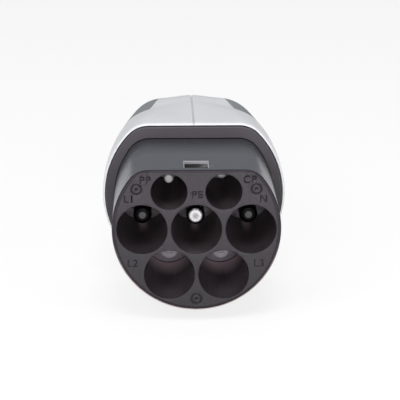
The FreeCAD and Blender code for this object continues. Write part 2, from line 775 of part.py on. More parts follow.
def hollow_reach(angle, station, inset):
    """As handle_reach, but narrowing to the round cable passage in the tail."""
    open_reach = handle_reach(angle, station, inset)
    funnel = ease(station, layout.tail_front - sizes["tail_wall"], layout.tail_front)
    return open_reach + (sizes["gland_passage_radius"] + sizes["shell_gap"] - open_reach) * funnel


def half_curve(reach_at, station, inset, side=0.0):
    """Half of an outline, from the top middle round the +X side to the bottom middle."""
    middle = handle_at(station)[2]
    points = []
    for step in range(outline_steps + 1):
        angle = math.pi * step / outline_steps
        reach = reach_at(angle, station, inset)
        across_x = reach * math.sin(angle) if 0 < step < outline_steps else 0.0
        points.append(vector(max(across_x, side), station, middle + reach * math.cos(angle)))
    curve = Part.BSplineCurve()
    curve.interpolate(Points=points, InitialTangent=vector(1, 0, 0), FinalTangent=vector(-1, 0, 0))
    return curve.toShape(), points[0], points[-1]


def closed_wire(curves):
    """A wire of curves, each given with its ends, joined by straight edges."""
    edges = []
    for number, (edge, start, end) in enumerate(curves):
        edges.append(edge)
        after = curves[(number + 1) % len(curves)][1]
        if (after - end).Length > tiny:
            edges.append(Part.LineSegment(end, after).toShape())
    return Part.Wire(edges)


def loft_handle(wire_at, start, end):
    stations = [start + (end - start) * step / handle_steps for step in range(handle_steps + 1)]
    return Part.makeLoft([wire_at(station) for station in stations], True, False, False, 3)


def half_handle(inset, start, end):
    """Half of the handle's solid form, set in from its outer surface all round."""
    return loft_handle(lambda station: closed_wire([half_curve(handle_reach, station, inset)]), start, end)


def half_layer(outside, inside, start, end):
    """A layer of the handle half between two depths below its outer surface."""
    def wire_at(station):
        inner, top, bottom = half_curve(handle_reach, station, inside)
        return closed_wire([half_curve(handle_reach, station, outside), (inner, bottom, top)])
    return loft_handle(wire_at, start, end)


def shell_wire(station):
    """Section of one shell half: outer skin, seam slot, split plane and hollow."""
    slot, depth = sizes["seam_slot"], sizes["seam_depth"]
    outer, top, bottom = half_curve(handle_reach, station, 0.0, slot)
    inner, inner_top, inner_bottom = half_curve(hollow_reach, station, sizes["shell_wall"])
    corners = [bottom, vector(slot, station, bottom.z + depth), vector(0, station, bottom.z + depth),
               inner_bottom]
    returning = [inner_top, vector(0, station, top.z - depth), vector(slot, station, top.z - depth), top]
    edges = [outer]
    edges += [Part.LineSegment(first, last).toShape() for first, last in zip(corners, corners[1:])]
    edges.append(inner)
    edges += [Part.LineSegment(first, last).toShape() for first, last in zip(returning, returning[1:])]
    return Part.Wire(edges)


def flat_topped_prism(family, grow, start, end):
    """A solid with the plug's flat-topped outline between two stations."""
    radius = sizes[f"{family}_radius"] + grow
    flat = sizes[f"{family}_flat"] + grow
    corner = sizes[f"{family}_corner"] + grow
    corner_z = flat - corner
    corner_x = math.sqrt((radius - corner) ** 2 - corner_z ** 2)
    touch = vector(corner_x, 0, corner_z).normalize() * radius
    bend = math.atan2(corner_x, corner_z) / 2
    right_middle = vector(corner_x + corner * math.sin(bend), start, corner_z + corner * math.cos(bend))
    left_middle = vector(-right_middle.x, start, right_middle.z)
    right_top, left_top = vector(corner_x, start, flat), vector(-corner_x, start, flat)
    right_low, left_low = vector(touch.x, start, touch.z), vector(-touch.x, start, touch.z)
    edges = [
        Part.LineSegment(left_top, right_top).toShape(),
        Part.Arc(right_top, right_middle, right_low).toShape(),
        Part.Arc(right_low, vector(0, start, -radius), left_low).toShape(),
        Part.Arc(left_low, left_middle, left_top).toShape(),
    ]
    return Part.Face(Part.Wire(edges)).extrude(vector(0, end - start, 0))


def rod(radius, start, end, z=0.0):
    """A cylinder along the plug between two stations."""
    return Part.makeCylinder(radius, end - start, vector(0, start, z), vector(0, 1, 0))


def slab(start, end, top=beyond):
    """Everything between two stations, and below top."""
    return Part.makeBox(2 * beyond, end - start, top + beyond, vector(-beyond, start, -beyond))


def shell_screw_spots():
    return [(sizes[f"{name}_screw_y"], sizes[f"{name}_screw_z"]) for name in shell_screw_names]


def across(radius, start, end, station, z):
    """A cylinder across the plug, from one x to another."""
    return Part.makeCylinder(radius, end - start, vector(start, station, z), vector(1, 0, 0))


def shell_ribs():
    """Ribs and screw bosses inside one shell half, reaching a little into its wall."""
    axis_z = -sizes["tail_sag"]
    stop = slab(layout.stop_front, layout.stop_rear)
    stop_hole = flat_topped_prism("body", -sizes["stop_inset"],
                                  layout.stop_front - over, layout.stop_rear + over)
    pieces_inside = [stop.cut(stop_hole)]
    for start in (sizes["clamp_start"] - sizes["clamp_rib_gap"] - sizes["clamp_rib"],
                  layout.clamp_end + sizes["clamp_rib_gap"]):
        rib = slab(start, start + sizes["clamp_rib"], axis_z)
        rib_hole = rod(layout.cable_bore + sizes["head_gap"], start - over, start + beyond, axis_z)
        pieces_inside.append(rib.cut(rib_hole))
    boss_radius = sizes["shell_head_radius"] + sizes["head_gap"] + sizes["boss_wall"]
    for station, z in shell_screw_spots():
        pieces_inside.append(across(boss_radius, -over, beyond, station, z))
    room = half_handle(sizes["shell_wall"] / 2, sizes["shell_front"], layout.tail_front)
    return room.common(Part.makeCompound(pieces_inside))


def inlay_region(grow):
    """The part of a handle side that the soft inlay covers, from above and from the side."""
    far = 2 * sizes["shell_radius"]
    end = sizes["inlay_end"] + grow
    run = vector(sizes["inlay_nose_x"] - sizes["inlay_corner_x"],
                 sizes["inlay_nose_y"] - sizes["inlay_corner_y"], 0).normalize()
    corner = vector(sizes["inlay_corner_x"] - grow, sizes["inlay_corner_y"] - grow, 0)
    front = corner + run * far
    inner = Part.BSplineCurve()
    inner.interpolate([vector(sizes["inlay_back_x"] - grow, end, 0),
                       vector(sizes["inlay_waist_x"] - grow, sizes["inlay_waist_y"], 0), corner])
    plan = Part.Wire([inner.toShape(), Part.LineSegment(corner, front).toShape(),
                      Part.LineSegment(front, vector(far + front.x, end, 0)).toShape(),
                      Part.LineSegment(vector(far + front.x, end, 0),
                                       vector(sizes["inlay_back_x"] - grow, end, 0)).toShape()])
    plan_solid = Part.Face(plan).extrude(vector(0, 0, 2 * far))
    plan_solid.translate(vector(0, 0, -far))
    low = Part.BSplineCurve()
    slope = sizes["inlay_belly_z"] - sizes["inlay_nose_z"]
    slope /= sizes["inlay_belly_y"] - sizes["inlay_nose_y"]
    ahead = vector(0, sizes["inlay_nose_y"] - far, sizes["inlay_nose_z"] - slope * far - grow)
    low.interpolate([vector(0, sizes["inlay_nose_y"], sizes["inlay_nose_z"] - grow),
                     vector(0, sizes["inlay_belly_y"], sizes["inlay_belly_z"] - grow),
                     vector(0, end, sizes["inlay_back_z"] - grow)],
                    InitialTangent=vector(0, 1, slope), FinalTangent=vector(0, 1, 0))
    nose = vector(0, sizes["inlay_nose_y"], sizes["inlay_nose_z"] - grow)
    back = vector(0, end, sizes["inlay_back_z"] - grow)
    high = 2 * far + abs(ahead.z)
    side = Part.Wire([Part.LineSegment(ahead, nose).toShape(), low.toShape(),
                      Part.LineSegment(back, vector(0, end, high)).toShape(),
                      Part.LineSegment(vector(0, end, high), vector(0, ahead.y, high)).toShape(),
                      Part.LineSegment(vector(0, ahead.y, high), ahead).toShape()])
    side_solid = Part.Face(side).extrude(vector(2 * far, 0, 0))
    return plan_solid.common(side_solid)


def build_shells():
    """The two handle halves and their inlays."""
    front, end = sizes["shell_front"], sizes["shell_end"]
    half = loft_handle(shell_wire, front, end)

    def rim_edges(shape, station):
        """The outer skin's edge at one end of the shell."""
        return [edge for edge in shape.Edges
                if abs(edge.BoundBox.YMin - station) < rough and edge.BoundBox.YLength < rough
                and edge.BoundBox.XLength > sizes["boss_wall"]
                and abs(edge.BoundBox.XMin - sizes["seam_slot"]) < rough]

    half = half.makeFillet(sizes["shell_edge"], rim_edges(half, front))
    half = half.makeFillet(sizes["tail_edge"], rim_edges(half, end))
    half = half.fuse(shell_ribs())

    gap = sizes["shell_gap"]
    gland_z = -sizes["tail_sag"]
    region = inlay_region(sizes["inlay_gap"])
    recess = half_layer(-over, sizes["inlay_thickness"] + sizes["end_gap"], front - over, end + over)
    cutters = [
        recess.common(region),
        slab(front - over, end + over, -sizes["shell_radius"]),
        flat_topped_prism("collar", gap, front - over, layout.groove_front + sizes["end_gap"]),
        flat_topped_prism("body", layout.neck_grow + gap, front - over, layout.stop_front),
        flat_topped_prism("collar", gap - sizes["rim_inset"],
                          layout.groove_rear - sizes["end_gap"], layout.stop_front),
        rod(layout.cable_bore + sizes["head_gap"], sizes["cable_way_start"], layout.clamp_end, gland_z),
        rod(sizes["gland_passage_radius"] + gap, layout.clamp_end, end, gland_z),
        rod(sizes["gland_thread_radius"] + gap, layout.gland_flange_front, end + over, gland_z),
        rod(sizes["gland_flange_radius"] + gap, layout.gland_flange_front,
            layout.gland_flange_rear + sizes["end_gap"], gland_z),
    ]
    half = half.cut(cutters)
    region = inlay_region(0)
    inlay = half_layer(0.0, sizes["inlay_thickness"], front - over, end + over).common(region)

    holes = []
    pilots = []
    depth = sizes["shell_screw_length"] - sizes["shell_screw_seat"] + over
    for station, z in shell_screw_spots():
        holes.append(across(sizes["shell_screw_radius"] + sizes["thread_gap"], -over, beyond, station, z))
        holes.append(across(sizes["shell_head_radius"] + sizes["head_gap"],
                            sizes["shell_screw_seat"], beyond, station, z))
        pilots.append(across(sizes["shell_screw_radius"], -depth, over, station, z))
    left = half.mirror(vector(0, 0, 0), vector(1, 0, 0)).cut(pilots)
    right = half.cut(holes)
    nodes_made = [solid_part("handle_shell_left", left), solid_part("handle_shell_right", right)]
    nodes_made.append(solid_part("grip_inlay_left", inlay.mirror(vector(0, 0, 0), vector(1, 0, 0))))
    nodes_made.append(solid_part("grip_inlay_right", inlay))
    return nodes_made


# Cable clamp: a saddle that fits the inside of the grip, and a strap over the cable

def build_clamp():
    start, end = sizes["clamp_start"], layout.clamp_end
    axis_z = -sizes["tail_sag"]
    inset = sizes["shell_wall"] + sizes["clamp_side_gap"]
    run_out = sizes["clamp_length"]
    half = half_handle(inset, start - run_out, end + run_out)
    half = half.common(slab(start, end, axis_z - sizes["clamp_split"] / 2))
    base = half.fuse(half.mirror(vector(0, 0, 0), vector(1, 0, 0))).removeSplitter()
    base_cutters = [rod(layout.cable_bore, start - over, end + over, axis_z)]
    foot_bottom = axis_z + sizes["clamp_split"] / 2
    strap_radius = layout.cable_bore + sizes["strap_wall"]
    feet = Part.makeBox(2 * sizes["strap_reach"], sizes["clamp_length"], sizes["strap_foot"],
                        vector(-sizes["strap_reach"], start, foot_bottom))
    arch = rod(strap_radius, start, end, axis_z)
    arch = arch.common(Part.makeBox(4 * strap_radius, sizes["clamp_length"], 2 * strap_radius,
                                    vector(-2 * strap_radius, start, foot_bottom)))
    strap = feet.fuse(arch).removeSplitter()
    strap_cutters = [rod(layout.cable_bore, start - over, end + over, axis_z)]
    middle = (start + end) / 2
    foot_top = foot_bottom + sizes["strap_foot"]
    for side in (-1, 1):
        seat = vector(side * sizes["clamp_screw_x"], middle, foot_top)
        up, down = vector(0, 0, 1), vector(0, 0, -1)
        strap_cutters.append(Part.makeCylinder(sizes["clamp_screw_radius"] + sizes["thread_gap"],
                                               sizes["strap_foot"] + over, seat, down))
        strap_cutters.append(Part.makeCylinder(sizes["clamp_head_radius"] + sizes["head_gap"],
                                               strap_radius, seat, up))
        base_cutters.append(Part.makeCylinder(sizes["clamp_screw_radius"],
                                              sizes["clamp_screw_length"] + over, seat, down))
    return [solid_part("cable_clamp_base", base.cut(base_cutters)),
            solid_part("cable_clamp_strap", strap.cut(strap_cutters))]


# Gland: body held in the tail, sealing ring, claw ring and cap nut

def build_gland():
    axis = ("0", "0", "-Sizes.tail_sag")
    passage, thread = "Sizes.gland_passage_radius", "Sizes.gland_thread_radius"
    flange, bore = "Sizes.gland_flange_radius", "Layout.gland_bore"
    front, rear = "Layout.gland_flange_front", "Layout.gland_flange_rear"
    seat, end = "Layout.seal_start", "Layout.gland_end"
    body = turned("gland_body", [
        (passage, front), (flange, front), (flange, rear), (thread, rear),
        (thread, end), (bore, end), (bore, seat), (passage, seat)], "along", axis)
    cable = "Layout.cable_bore"
    ring = f"{bore} - Sizes.end_gap"
    seal = turned("gland_seal", [
        (cable, seat), (ring, seat), (ring, "Layout.seal_end"), (cable, "Layout.seal_end")], "along", axis)

    claw_bore = "Layout.cable_bore + Sizes.end_gap"
    claw_end = "Layout.claw_end"
    claw = turned("gland_claw", [
        (claw_bore, "Layout.claw_start"), (ring, "Layout.claw_start"), (ring, "Layout.gland_end"),
        ("Sizes.claw_nose_radius", claw_end), (claw_bore, claw_end)], "along", axis)
    slot = new_sketch(claw, "SlotOutline", "XY_Plane", "Layout.claw_start + Sizes.claw_ring")
    half = "Sizes.claw_slot / 2"
    reach = "Layout.gland_bore + Sizes.nut_bevel"
    add_polygon(slot, "corner", [("0", f"-{half}"), (reach, f"-{half}"), (reach, half), ("0", half)])
    cut = pocket(claw, "Slot", slot, "Sizes.claw_length", forward=True)
    pattern = claw.newObject("PartDesign::PolarPattern", "Slots")
    pattern.Originals = [cut]
    axis_z = next(item for item in claw.Origin.OriginFeatures if item.Role == "Z_Axis")
    pattern.Axis = (axis_z, [""])
    pattern.Angle = 360
    pattern.setExpression("Occurrences", "Sizes.claw_count")
    claw.Tip = pattern

    corner = "Layout.nut_corner"
    inside = "Sizes.gland_thread_radius + Sizes.thread_gap"
    shoulder, nut_end = "Layout.nut_shoulder", "Layout.nut_end"
    mouth = "Sizes.nut_mouth_radius"
    turned_nut = turned("gland_nut_turning", [
        (inside, "Sizes.nut_start"), (f"{corner} - Sizes.nut_bevel", "Sizes.nut_start"),
        (corner, "Sizes.nut_start + Sizes.nut_bevel"), (corner, f"{shoulder} - Sizes.nut_end_wall"),
        ("Sizes.nut_flats / 2 - Sizes.nut_bevel", shoulder),
        ("Sizes.nut_dome_radius", nut_end), (mouth, nut_end), (mouth, f"{claw_end} + Sizes.end_gap"),
        ("Sizes.claw_nose_radius + Sizes.end_gap", f"{claw_end} + Sizes.end_gap"),
        (f"{ring} + Sizes.head_gap", shoulder), (inside, shoulder)], "along", axis)
    hexagon = document.addObject("Part::Prism", "NutHexagon")
    hexagon.Polygon = 6
    hexagon.setExpression("Circumradius", corner)
    hexagon.setExpression("Height", f"{nut_end} - Sizes.nut_start")
    set_place(hexagon, "along", ("0", "Sizes.nut_start", "-Sizes.tail_sag"))
    nut = document.addObject("Part::Common", "GlandNut")
    nut.Label = "gland_nut"
    nut.Base = turned_nut
    nut.Tool = hexagon
    return [body, seal, claw, nut]


pieces = [build_carrier(), build_collar(), build_gasket(), build_retainer()]
pieces.append(build_pin("pe_pin", "earth", "power", "Sizes.earth_tip"))
pieces.append(build_pin("l1_pin", "line_one", "power", "Sizes.line_tip", capped=True))
pieces.append(build_pin("n_pin", "neutral", "power", "Sizes.line_tip", capped=True))
pieces.append(build_pin("pp_pin", "proximity", "signal", "Sizes.proximity_tip"))
pieces.append(build_pin("cp_pin", "pilot", "signal", "Sizes.pilot_tip"))
pieces.append(build_cap("l1_tip_cap", "line_one"))
pieces.append(build_cap("n_tip_cap", "neutral"))
pieces.append(build_blank("l2_blanking_plug", "line_two"))
pieces.append(build_blank("l3_blanking_plug", "line_three"))
pieces.append(build_rings())
pieces.append(build_screws("retainer_screws", "retainer", "along",
                           [(x, "Layout.retainer_rear", z) for x, z in mark_places]))
pieces.append(build_resistor())
pieces.extend(build_shells())
pieces.append(build_screws("shell_screws", "shell", "side", [
    ("Sizes.shell_screw_seat", f"Sizes.{name}_screw_y", f"Sizes.{name}_screw_z")
    for name in shell_screw_names]))
pieces.extend(build_clamp())
pieces.append(build_screws("clamp_screws", "clamp", "up", [
    (f"{side} * Sizes.clamp_screw_x", "Sizes.clamp_start + Sizes.clamp_length / 2",
     "Sizes.clamp_split / 2 - Sizes.tail_sag + Sizes.strap_foot") for side in (-1, 1)]))
pieces.extend(build_gland())
document.recompute()

for item in document.Objects:
    if "Invalid" in item.State or "Error" in item.State:
        raise ValueError(f"{item.Label} failed: {item.State}")
for piece in pieces:
    if piece.Shape.isNull() or not piece.Shape.isValid():
        raise ValueError(f"{piece.Label} has no valid shape")

os.makedirs("parts", exist_ok=True)
for piece in pieces:
    piece.Shape.exportStep(f"parts/{piece.Label}.step")
    print(piece.Label, len(piece.Shape.Solids), round(piece.Shape.Volume, 1))
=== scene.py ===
import bpy
import math
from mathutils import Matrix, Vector


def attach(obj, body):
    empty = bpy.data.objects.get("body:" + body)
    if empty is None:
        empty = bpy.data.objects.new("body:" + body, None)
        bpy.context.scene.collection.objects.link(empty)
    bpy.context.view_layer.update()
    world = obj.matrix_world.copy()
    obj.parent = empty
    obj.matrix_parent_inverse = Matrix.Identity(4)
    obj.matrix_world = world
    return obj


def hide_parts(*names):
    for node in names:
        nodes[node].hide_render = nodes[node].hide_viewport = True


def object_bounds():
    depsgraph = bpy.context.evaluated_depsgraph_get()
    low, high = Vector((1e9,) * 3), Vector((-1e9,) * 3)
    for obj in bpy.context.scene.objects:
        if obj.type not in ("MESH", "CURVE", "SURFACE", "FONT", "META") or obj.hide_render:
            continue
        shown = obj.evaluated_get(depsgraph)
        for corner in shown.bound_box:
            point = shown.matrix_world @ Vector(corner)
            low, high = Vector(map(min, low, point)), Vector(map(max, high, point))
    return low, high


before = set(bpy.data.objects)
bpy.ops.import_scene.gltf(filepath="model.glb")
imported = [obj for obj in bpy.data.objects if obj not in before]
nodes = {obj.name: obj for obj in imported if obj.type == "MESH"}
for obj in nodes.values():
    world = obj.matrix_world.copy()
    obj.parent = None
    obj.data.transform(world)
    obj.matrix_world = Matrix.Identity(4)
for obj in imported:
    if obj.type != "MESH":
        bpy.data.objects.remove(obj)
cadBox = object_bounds()
mm = 0.001
print("frame loaded:", len(nodes), "nodes")


# Camera

cameraView = {              # metres and degrees
    "distance": 0.55,       # from the middle of the mating face
    "azimuth": -1.2,
    "elevation": 16.6,
    "lens": 154.5,
    "aimRight": 0.0011,     # the point looked at, seen from the camera
    "aimUp": 0.0095,
    "nearest": 0.01,
}


def addCamera():
    view = cameraView
    turn = math.radians(view["azimuth"])
    lift = math.radians(view["elevation"])
    back = Vector((math.sin(turn) * math.cos(lift), -math.cos(turn) * math.cos(lift), math.sin(lift)))
    right = Vector((math.cos(turn), math.sin(turn), 0))
    up = back.cross(right)
    place = back * view["distance"]
    aim = right * view["aimRight"] + up * view["aimUp"]
    bpy.ops.object.camera_add(location=place, rotation=(place - aim).to_track_quat("Z", "Y").to_euler())
    camera = bpy.context.object
    camera.data.lens = view["lens"]
    camera.data.clip_start = view["nearest"]
    bpy.context.scene.camera = camera


# Shader nodes

mixPlaces = {"FLOAT": (2, 3, 0), "RGBA": (6, 7, 2)}     # where a mix node has A, B and its result


def paint(red, green, blue):
    # screen values 0 to 255 as the shader wants them
    linear = []
    for value in (red, green, blue):
        share = value / 255
        linear.append(share / 12.92 if share <= 0.04045 else ((share + 0.055) / 1.055) ** 2.4)
    return (*linear, 1.0)


def feed(tree, socket, value):
    # the value is another node's output or a plain one
    if isinstance(value, bpy.types.NodeSocket):
        tree.links.new(value, socket)
    else:
        socket.default_value = value


def calculate(tree, operation, *values):
    node = tree.nodes.new("ShaderNodeMath")
    node.operation = operation
    for socket, value in zip(node.inputs, values):
        feed(tree, socket, value)
    return node.outputs["Value"]


def blendPair(tree, kind, first, second, factor):
    # the first where the factor is 0, the second where it is 1
    mix = tree.nodes.new("ShaderNodeMix")
    mix.data_type = kind
    firstPlace, secondPlace, result = mixPlaces[kind]
    feed(tree, mix.inputs[firstPlace], first)
    feed(tree, mix.inputs[secondPlace], second)
    feed(tree, mix.inputs["Factor"], factor)
    return mix.outputs[result]


def rampUp(tree, value, low, high, start=0.0, end=1.0):
    # goes from start to end while the value goes from low to high
    span = tree.nodes.new("ShaderNodeMapRange")
    span.inputs["From Min"].default_value = low
    span.inputs["From Max"].default_value = high
    span.inputs["To Min"].default_value = start
    span.inputs["To Max"].default_value = end
    feed(tree, span.inputs["Value"], value)
    return span.outputs["Result"]


def pieceAxes(tree):
    # X, Y and Z of a place on the piece, in metres
    place = tree.nodes.new("ShaderNodeTexCoord")
    axes = tree.nodes.new("ShaderNodeSeparateXYZ")
    tree.links.new(place.outputs["Object"], axes.inputs["Vector"])
    return axes.outputs


def axisDistance(tree, axes):
    # how far a place lies from the plug's long axis
    flat = tree.nodes.new("ShaderNodeCombineXYZ")
    tree.links.new(axes["X"], flat.inputs["X"])
    tree.links.new(axes["Z"], flat.inputs["Z"])
    radius = tree.nodes.new("ShaderNodeVectorMath")
    radius.operation = "LENGTH"
    tree.links.new(flat.outputs["Vector"], radius.inputs[0])
    return radius.outputs["Value"]


def scaleColour(tree, colour, share):
    scaled = tree.nodes.new("ShaderNodeVectorMath")
    scaled.operation = "SCALE"
    tree.links.new(colour, scaled.inputs[0])
    tree.links.new(share, scaled.inputs["Scale"])
    return scaled.outputs["Vector"]


# Floor, world and lamps

floorLook = {"size": 8.0, "colour": (244, 244, 244), "glow": 0.80}
worldLook = {
    "strength": 0.40,
    "mirrorStrength": 0.24,     # what gloss mirrors
    "seenStrength": 1.0,        # plain white where the camera looks past it all
}
lamps = {                   # place, size, watts; all aimed at the middle of the plug
    "keyLamp": ((-0.46, -0.60, 0.58), 0.55, 3.7),
    "fillLamp": ((0.62, -0.42, 0.36), 0.60, 1.3),
    "frontLamp": ((0.04, -0.95, 0.24), 0.30, 2.2),
    "rimLamp": ((0.03, -0.44, 0.76), 0.34, 3.0),
    "topLamp": ((0.05, 0.16, 0.80), 0.70, 0.9),
}
mattLamps = ("fillLamp",)   # these throw no highlight


def addFloor():
    # pale paper that also glows a little, for the camera and in what is mirrored
    bpy.ops.mesh.primitive_plane_add(size=floorLook["size"], location=(0, 0, cadBox[0].z))
    floor = bpy.context.object
    floor.name = "floor"
    material = bpy.data.materials.new("paleFloor")
    material.use_nodes = True
    tree = material.node_tree
    tree.nodes.clear()
    output = tree.nodes.new("ShaderNodeOutputMaterial")
    mix = tree.nodes.new("ShaderNodeMixShader")
    paper = tree.nodes.new("ShaderNodeBsdfDiffuse")
    paper.inputs["Color"].default_value = paint(*floorLook["colour"])
    glow = tree.nodes.new("ShaderNodeEmission")
    path = tree.nodes.new("ShaderNodeLightPath")
    seen = calculate(tree, "MAXIMUM", path.outputs["Is Camera Ray"], path.outputs["Is Glossy Ray"])
    tree.links.new(calculate(tree, "MULTIPLY", seen, floorLook["glow"]), mix.inputs["Fac"])
    tree.links.new(paper.outputs["BSDF"], mix.inputs[1])
    tree.links.new(glow.outputs["Emission"], mix.inputs[2])
    tree.links.new(mix.outputs["Shader"], output.inputs["Surface"])
    floor.data.materials.append(material)


def addWorld():
    look = worldLook
    world = bpy.data.worlds.new("studio")
    bpy.context.scene.world = world
    world.use_nodes = True
    tree = world.node_tree
    background = tree.nodes["Background"]
    background.inputs["Color"].default_value = (1, 1, 1, 1)
    path = tree.nodes.new("ShaderNodeLightPath")
    unseen = blendPair(tree, "FLOAT", look["strength"], look["mirrorStrength"],
                       path.outputs["Is Glossy Ray"])
    strength = blendPair(tree, "FLOAT", unseen, look["seenStrength"], path.outputs["Is Camera Ray"])
    tree.links.new(strength, background.inputs["Strength"])


def addLamps():
    middle = (cadBox[0] + cadBox[1]) / 2
    for name, (place, size, watts) in lamps.items():
        aim = (Vector(place) - middle).to_track_quat("Z", "Y").to_euler()
        bpy.ops.object.light_add(type="AREA", location=place, rotation=aim)
        lamp = bpy.context.object
        lamp.name = name
        lamp.data.shape = "DISK"
        lamp.data.size = size
        lamp.data.energy = watts
        lamp.visible_glossy = name not in mattLamps


# Surfaces that the materials share

noiseSpan = (0.3, 0.7)      # nearly all of a noise lies between these


def startMaterial(name, colour, roughness):
    material = bpy.data.materials.new(name)
    material.use_nodes = True
    shader = material.node_tree.nodes["Principled BSDF"]
    shader.inputs["Base Color"].default_value = paint(*colour)
    shader.inputs["Roughness"].default_value = roughness
    return material, material.node_tree, shader


def addNoise(tree, size, detail=2.0, stretch=(1, 1, 1)):
    # cloudy pattern on the piece's own coordinates; size is a blotch in metres
    place = tree.nodes.new("ShaderNodeTexCoord")
    scale = tree.nodes.new("ShaderNodeMapping")
    scale.inputs["Scale"].default_value = stretch
    noise = tree.nodes.new("ShaderNodeTexNoise")
    noise.inputs["Scale"].default_value = 1 / size
    noise.inputs["Detail"].default_value = detail
    tree.links.new(place.outputs["Object"], scale.inputs["Vector"])
    tree.links.new(scale.outputs["Vector"], noise.inputs["Vector"])
    return noise.outputs["Fac"]


def mottle(tree, shader, colour, size, contrast):
    # the colour drifts a little lighter and darker over the surface
    ramp = tree.nodes.new("ShaderNodeValToRGB")
    for stop, place, share in zip(ramp.color_ramp.elements, noiseSpan, (1 - contrast, 1 + contrast)):
        stop.position = place
        stop.color = paint(*(min(value * share, 255) for value in colour))
    tree.links.new(addNoise(tree, size), ramp.inputs["Fac"])
    tree.links.new(ramp.outputs["Color"], shader.inputs["Base Color"])


def roughen(tree, shader, size, low, high):
    roughness = rampUp(tree, addNoise(tree, size, detail=3.0), *noiseSpan, low, high)
    tree.links.new(roughness, shader.inputs["Roughness"])


def grain(tree, shader, size, depth, detail=3.0, stretch=(1, 1, 1)):
    # fine relief of a mould or of turning, depth in metres
    bump = tree.nodes.new("ShaderNodeBump")
    bump.inputs["Strength"].default_value = 1.0
    bump.inputs["Distance"].default_value = depth
    tree.links.new(addNoise(tree, size, detail, stretch), bump.inputs["Height"])
    tree.links.new(bump.outputs["Normal"], shader.inputs["Normal"])
    return bump


# Plain plastics and rubbers

plastics = {                # colour, roughness low and high, grain size and depth in mm, shine
    # painted shade in the cut marks
    "markShade": ((24, 21, 24), 0.50, 0.60, 0.22, 0.010, 0.5),
    "collarPlastic": ((76, 71, 77), 0.54, 0.64, 0.42, 0.034, 0.5),
    "shellPlastic": ((212, 213, 216), 0.36, 0.41, 0.20, 0.004, 0.5),
    "inlayRubber": ((128, 131, 134), 0.58, 0.68, 0.30, 0.012, 0.5),
    "capPlastic": ((8, 8, 9), 0.30, 0.38, 0.30, 0.003, 0.12),
    "blankPlastic": ((226, 216, 226), 0.34, 0.44, 0.30, 0.005, 0.5),
    # painted shade in the lock recess, and a painted highlight on its rear wall and bevel
    "recessShade": ((40, 40, 44), 0.12, 0.18, 0.30, 0.002, 0.6),
    "recessWallHighlight": ((150, 148, 154), 0.30, 0.40, 0.30, 0.003, 0.5),
    "retainerPlastic": ((44, 44, 48), 0.45, 0.55, 0.25, 0.008, 0.5),
    "sealRubber": ((38, 38, 40), 0.66, 0.76, 0.30, 0.010, 0.5),
    "resistorCoat": ((196, 170, 128), 0.30, 0.40, 0.30, 0.004, 0.5),
    "clampPlastic": ((52, 52, 56), 0.45, 0.55, 0.25, 0.008, 0.5),
    "glandPlastic": ((60, 61, 64), 0.40, 0.50, 0.25, 0.010, 0.5),
}
plasticPatches = {          # uneven colour and gloss, sizes in mm
    "cloud": 14.0,
    "contrast": 0.010,
    "gloss": 5.0,
}
paintedShadeFades = {             # painted shade: below these heights in mm only a share of the colour is left
    # painted shade, the collar darker towards its lower edge
    "collarPlastic": {"low": 2.0, "high": 24.0, "share": 0.58},
    # painted shade on the lower part of the recess's highlighted wall
    "recessWallHighlight": {"low": 18.65, "high": 18.85, "share": 0.06},
}


def paintShadeBelow(tree, fade):
    # painted shade: scales the colour down below a height
    shader = tree.nodes["Principled BSDF"]
    colour = shader.inputs["Base Color"].links[0].from_socket
    share = rampUp(tree, pieceAxes(tree)["Z"], fade["low"] * mm, fade["high"] * mm, fade["share"])
    tree.links.new(scaleColour(tree, colour, share), shader.inputs["Base Color"])


def makePlastics():
    made = {}
    patches = plasticPatches
    for name, (colour, smooth, rough, size, depth, shine) in plastics.items():
        material, tree, shader = startMaterial(name, colour, smooth)
        shader.inputs["Specular IOR Level"].default_value = shine
        mottle(tree, shader, colour, patches["cloud"] * mm, patches["contrast"])
        roughen(tree, shader, patches["gloss"] * mm, smooth, rough)
        grain(tree, shader, size * mm, depth * mm)
        made[name] = material
    for name, fade in paintedShadeFades.items():
        paintShadeBelow(made[name].node_tree, fade)
    return made


# The mating body's plastic

bodyZones = {
    "face": (58, 53, 59),
    "faceLow": (44, 40, 45),            # painted shade towards the face's lower edge
    "highEdge": (46, 44, 49),           # the bevel round the face, its upper half
    # painted highlight on the bevel's lower half
    "lowEdge": (190, 172, 170),
    "skin": (84, 86, 93),
    "skinRear": (44, 44, 48),           # painted shade towards the collar
    "join": (12, 12, 13),               # painted shadow beside the collar
    "mouth": (44, 38, 41),              # the cavities' first stretch
    "cavity": (70, 61, 66),
    "paleCavity": (226, 202, 210),      # painted light towards the floor, where there is a blanking plug
    "corner": (13, 9, 11),              # the shadow line round a cavity's floor
    # the cavity floors, painted light: far lighter than the plastic so that they read as lit
    "floor": (236, 228, 236),
    "paleFloor": (232, 222, 232),
    "faceFade": (-26.0, 10.0),          # heights in mm between which one zone gives way to the next
    "edgeFade": (-22.0, -4.0),
    "paleFade": (-8.1, -7.9),
    "topStart": (18.75, 18.85),
    "sideStart": (25.95, 26.05),        # the same, as distances from the long axis
    "edgeStart": (0.07, 0.13),          # and as depths behind the face
    "edgeEnd": (0.57, 0.67),
    "mouthFade": (0.0, 18.0),
    "wallFade": (24.0, 39.7),
    "cornerStart": (38.1, 38.9),
    "floorStart": (39.6, 39.8),
    "rearFade": (20.0, 42.3),
    "collarShadowStart": (42.2, 42.4),
}
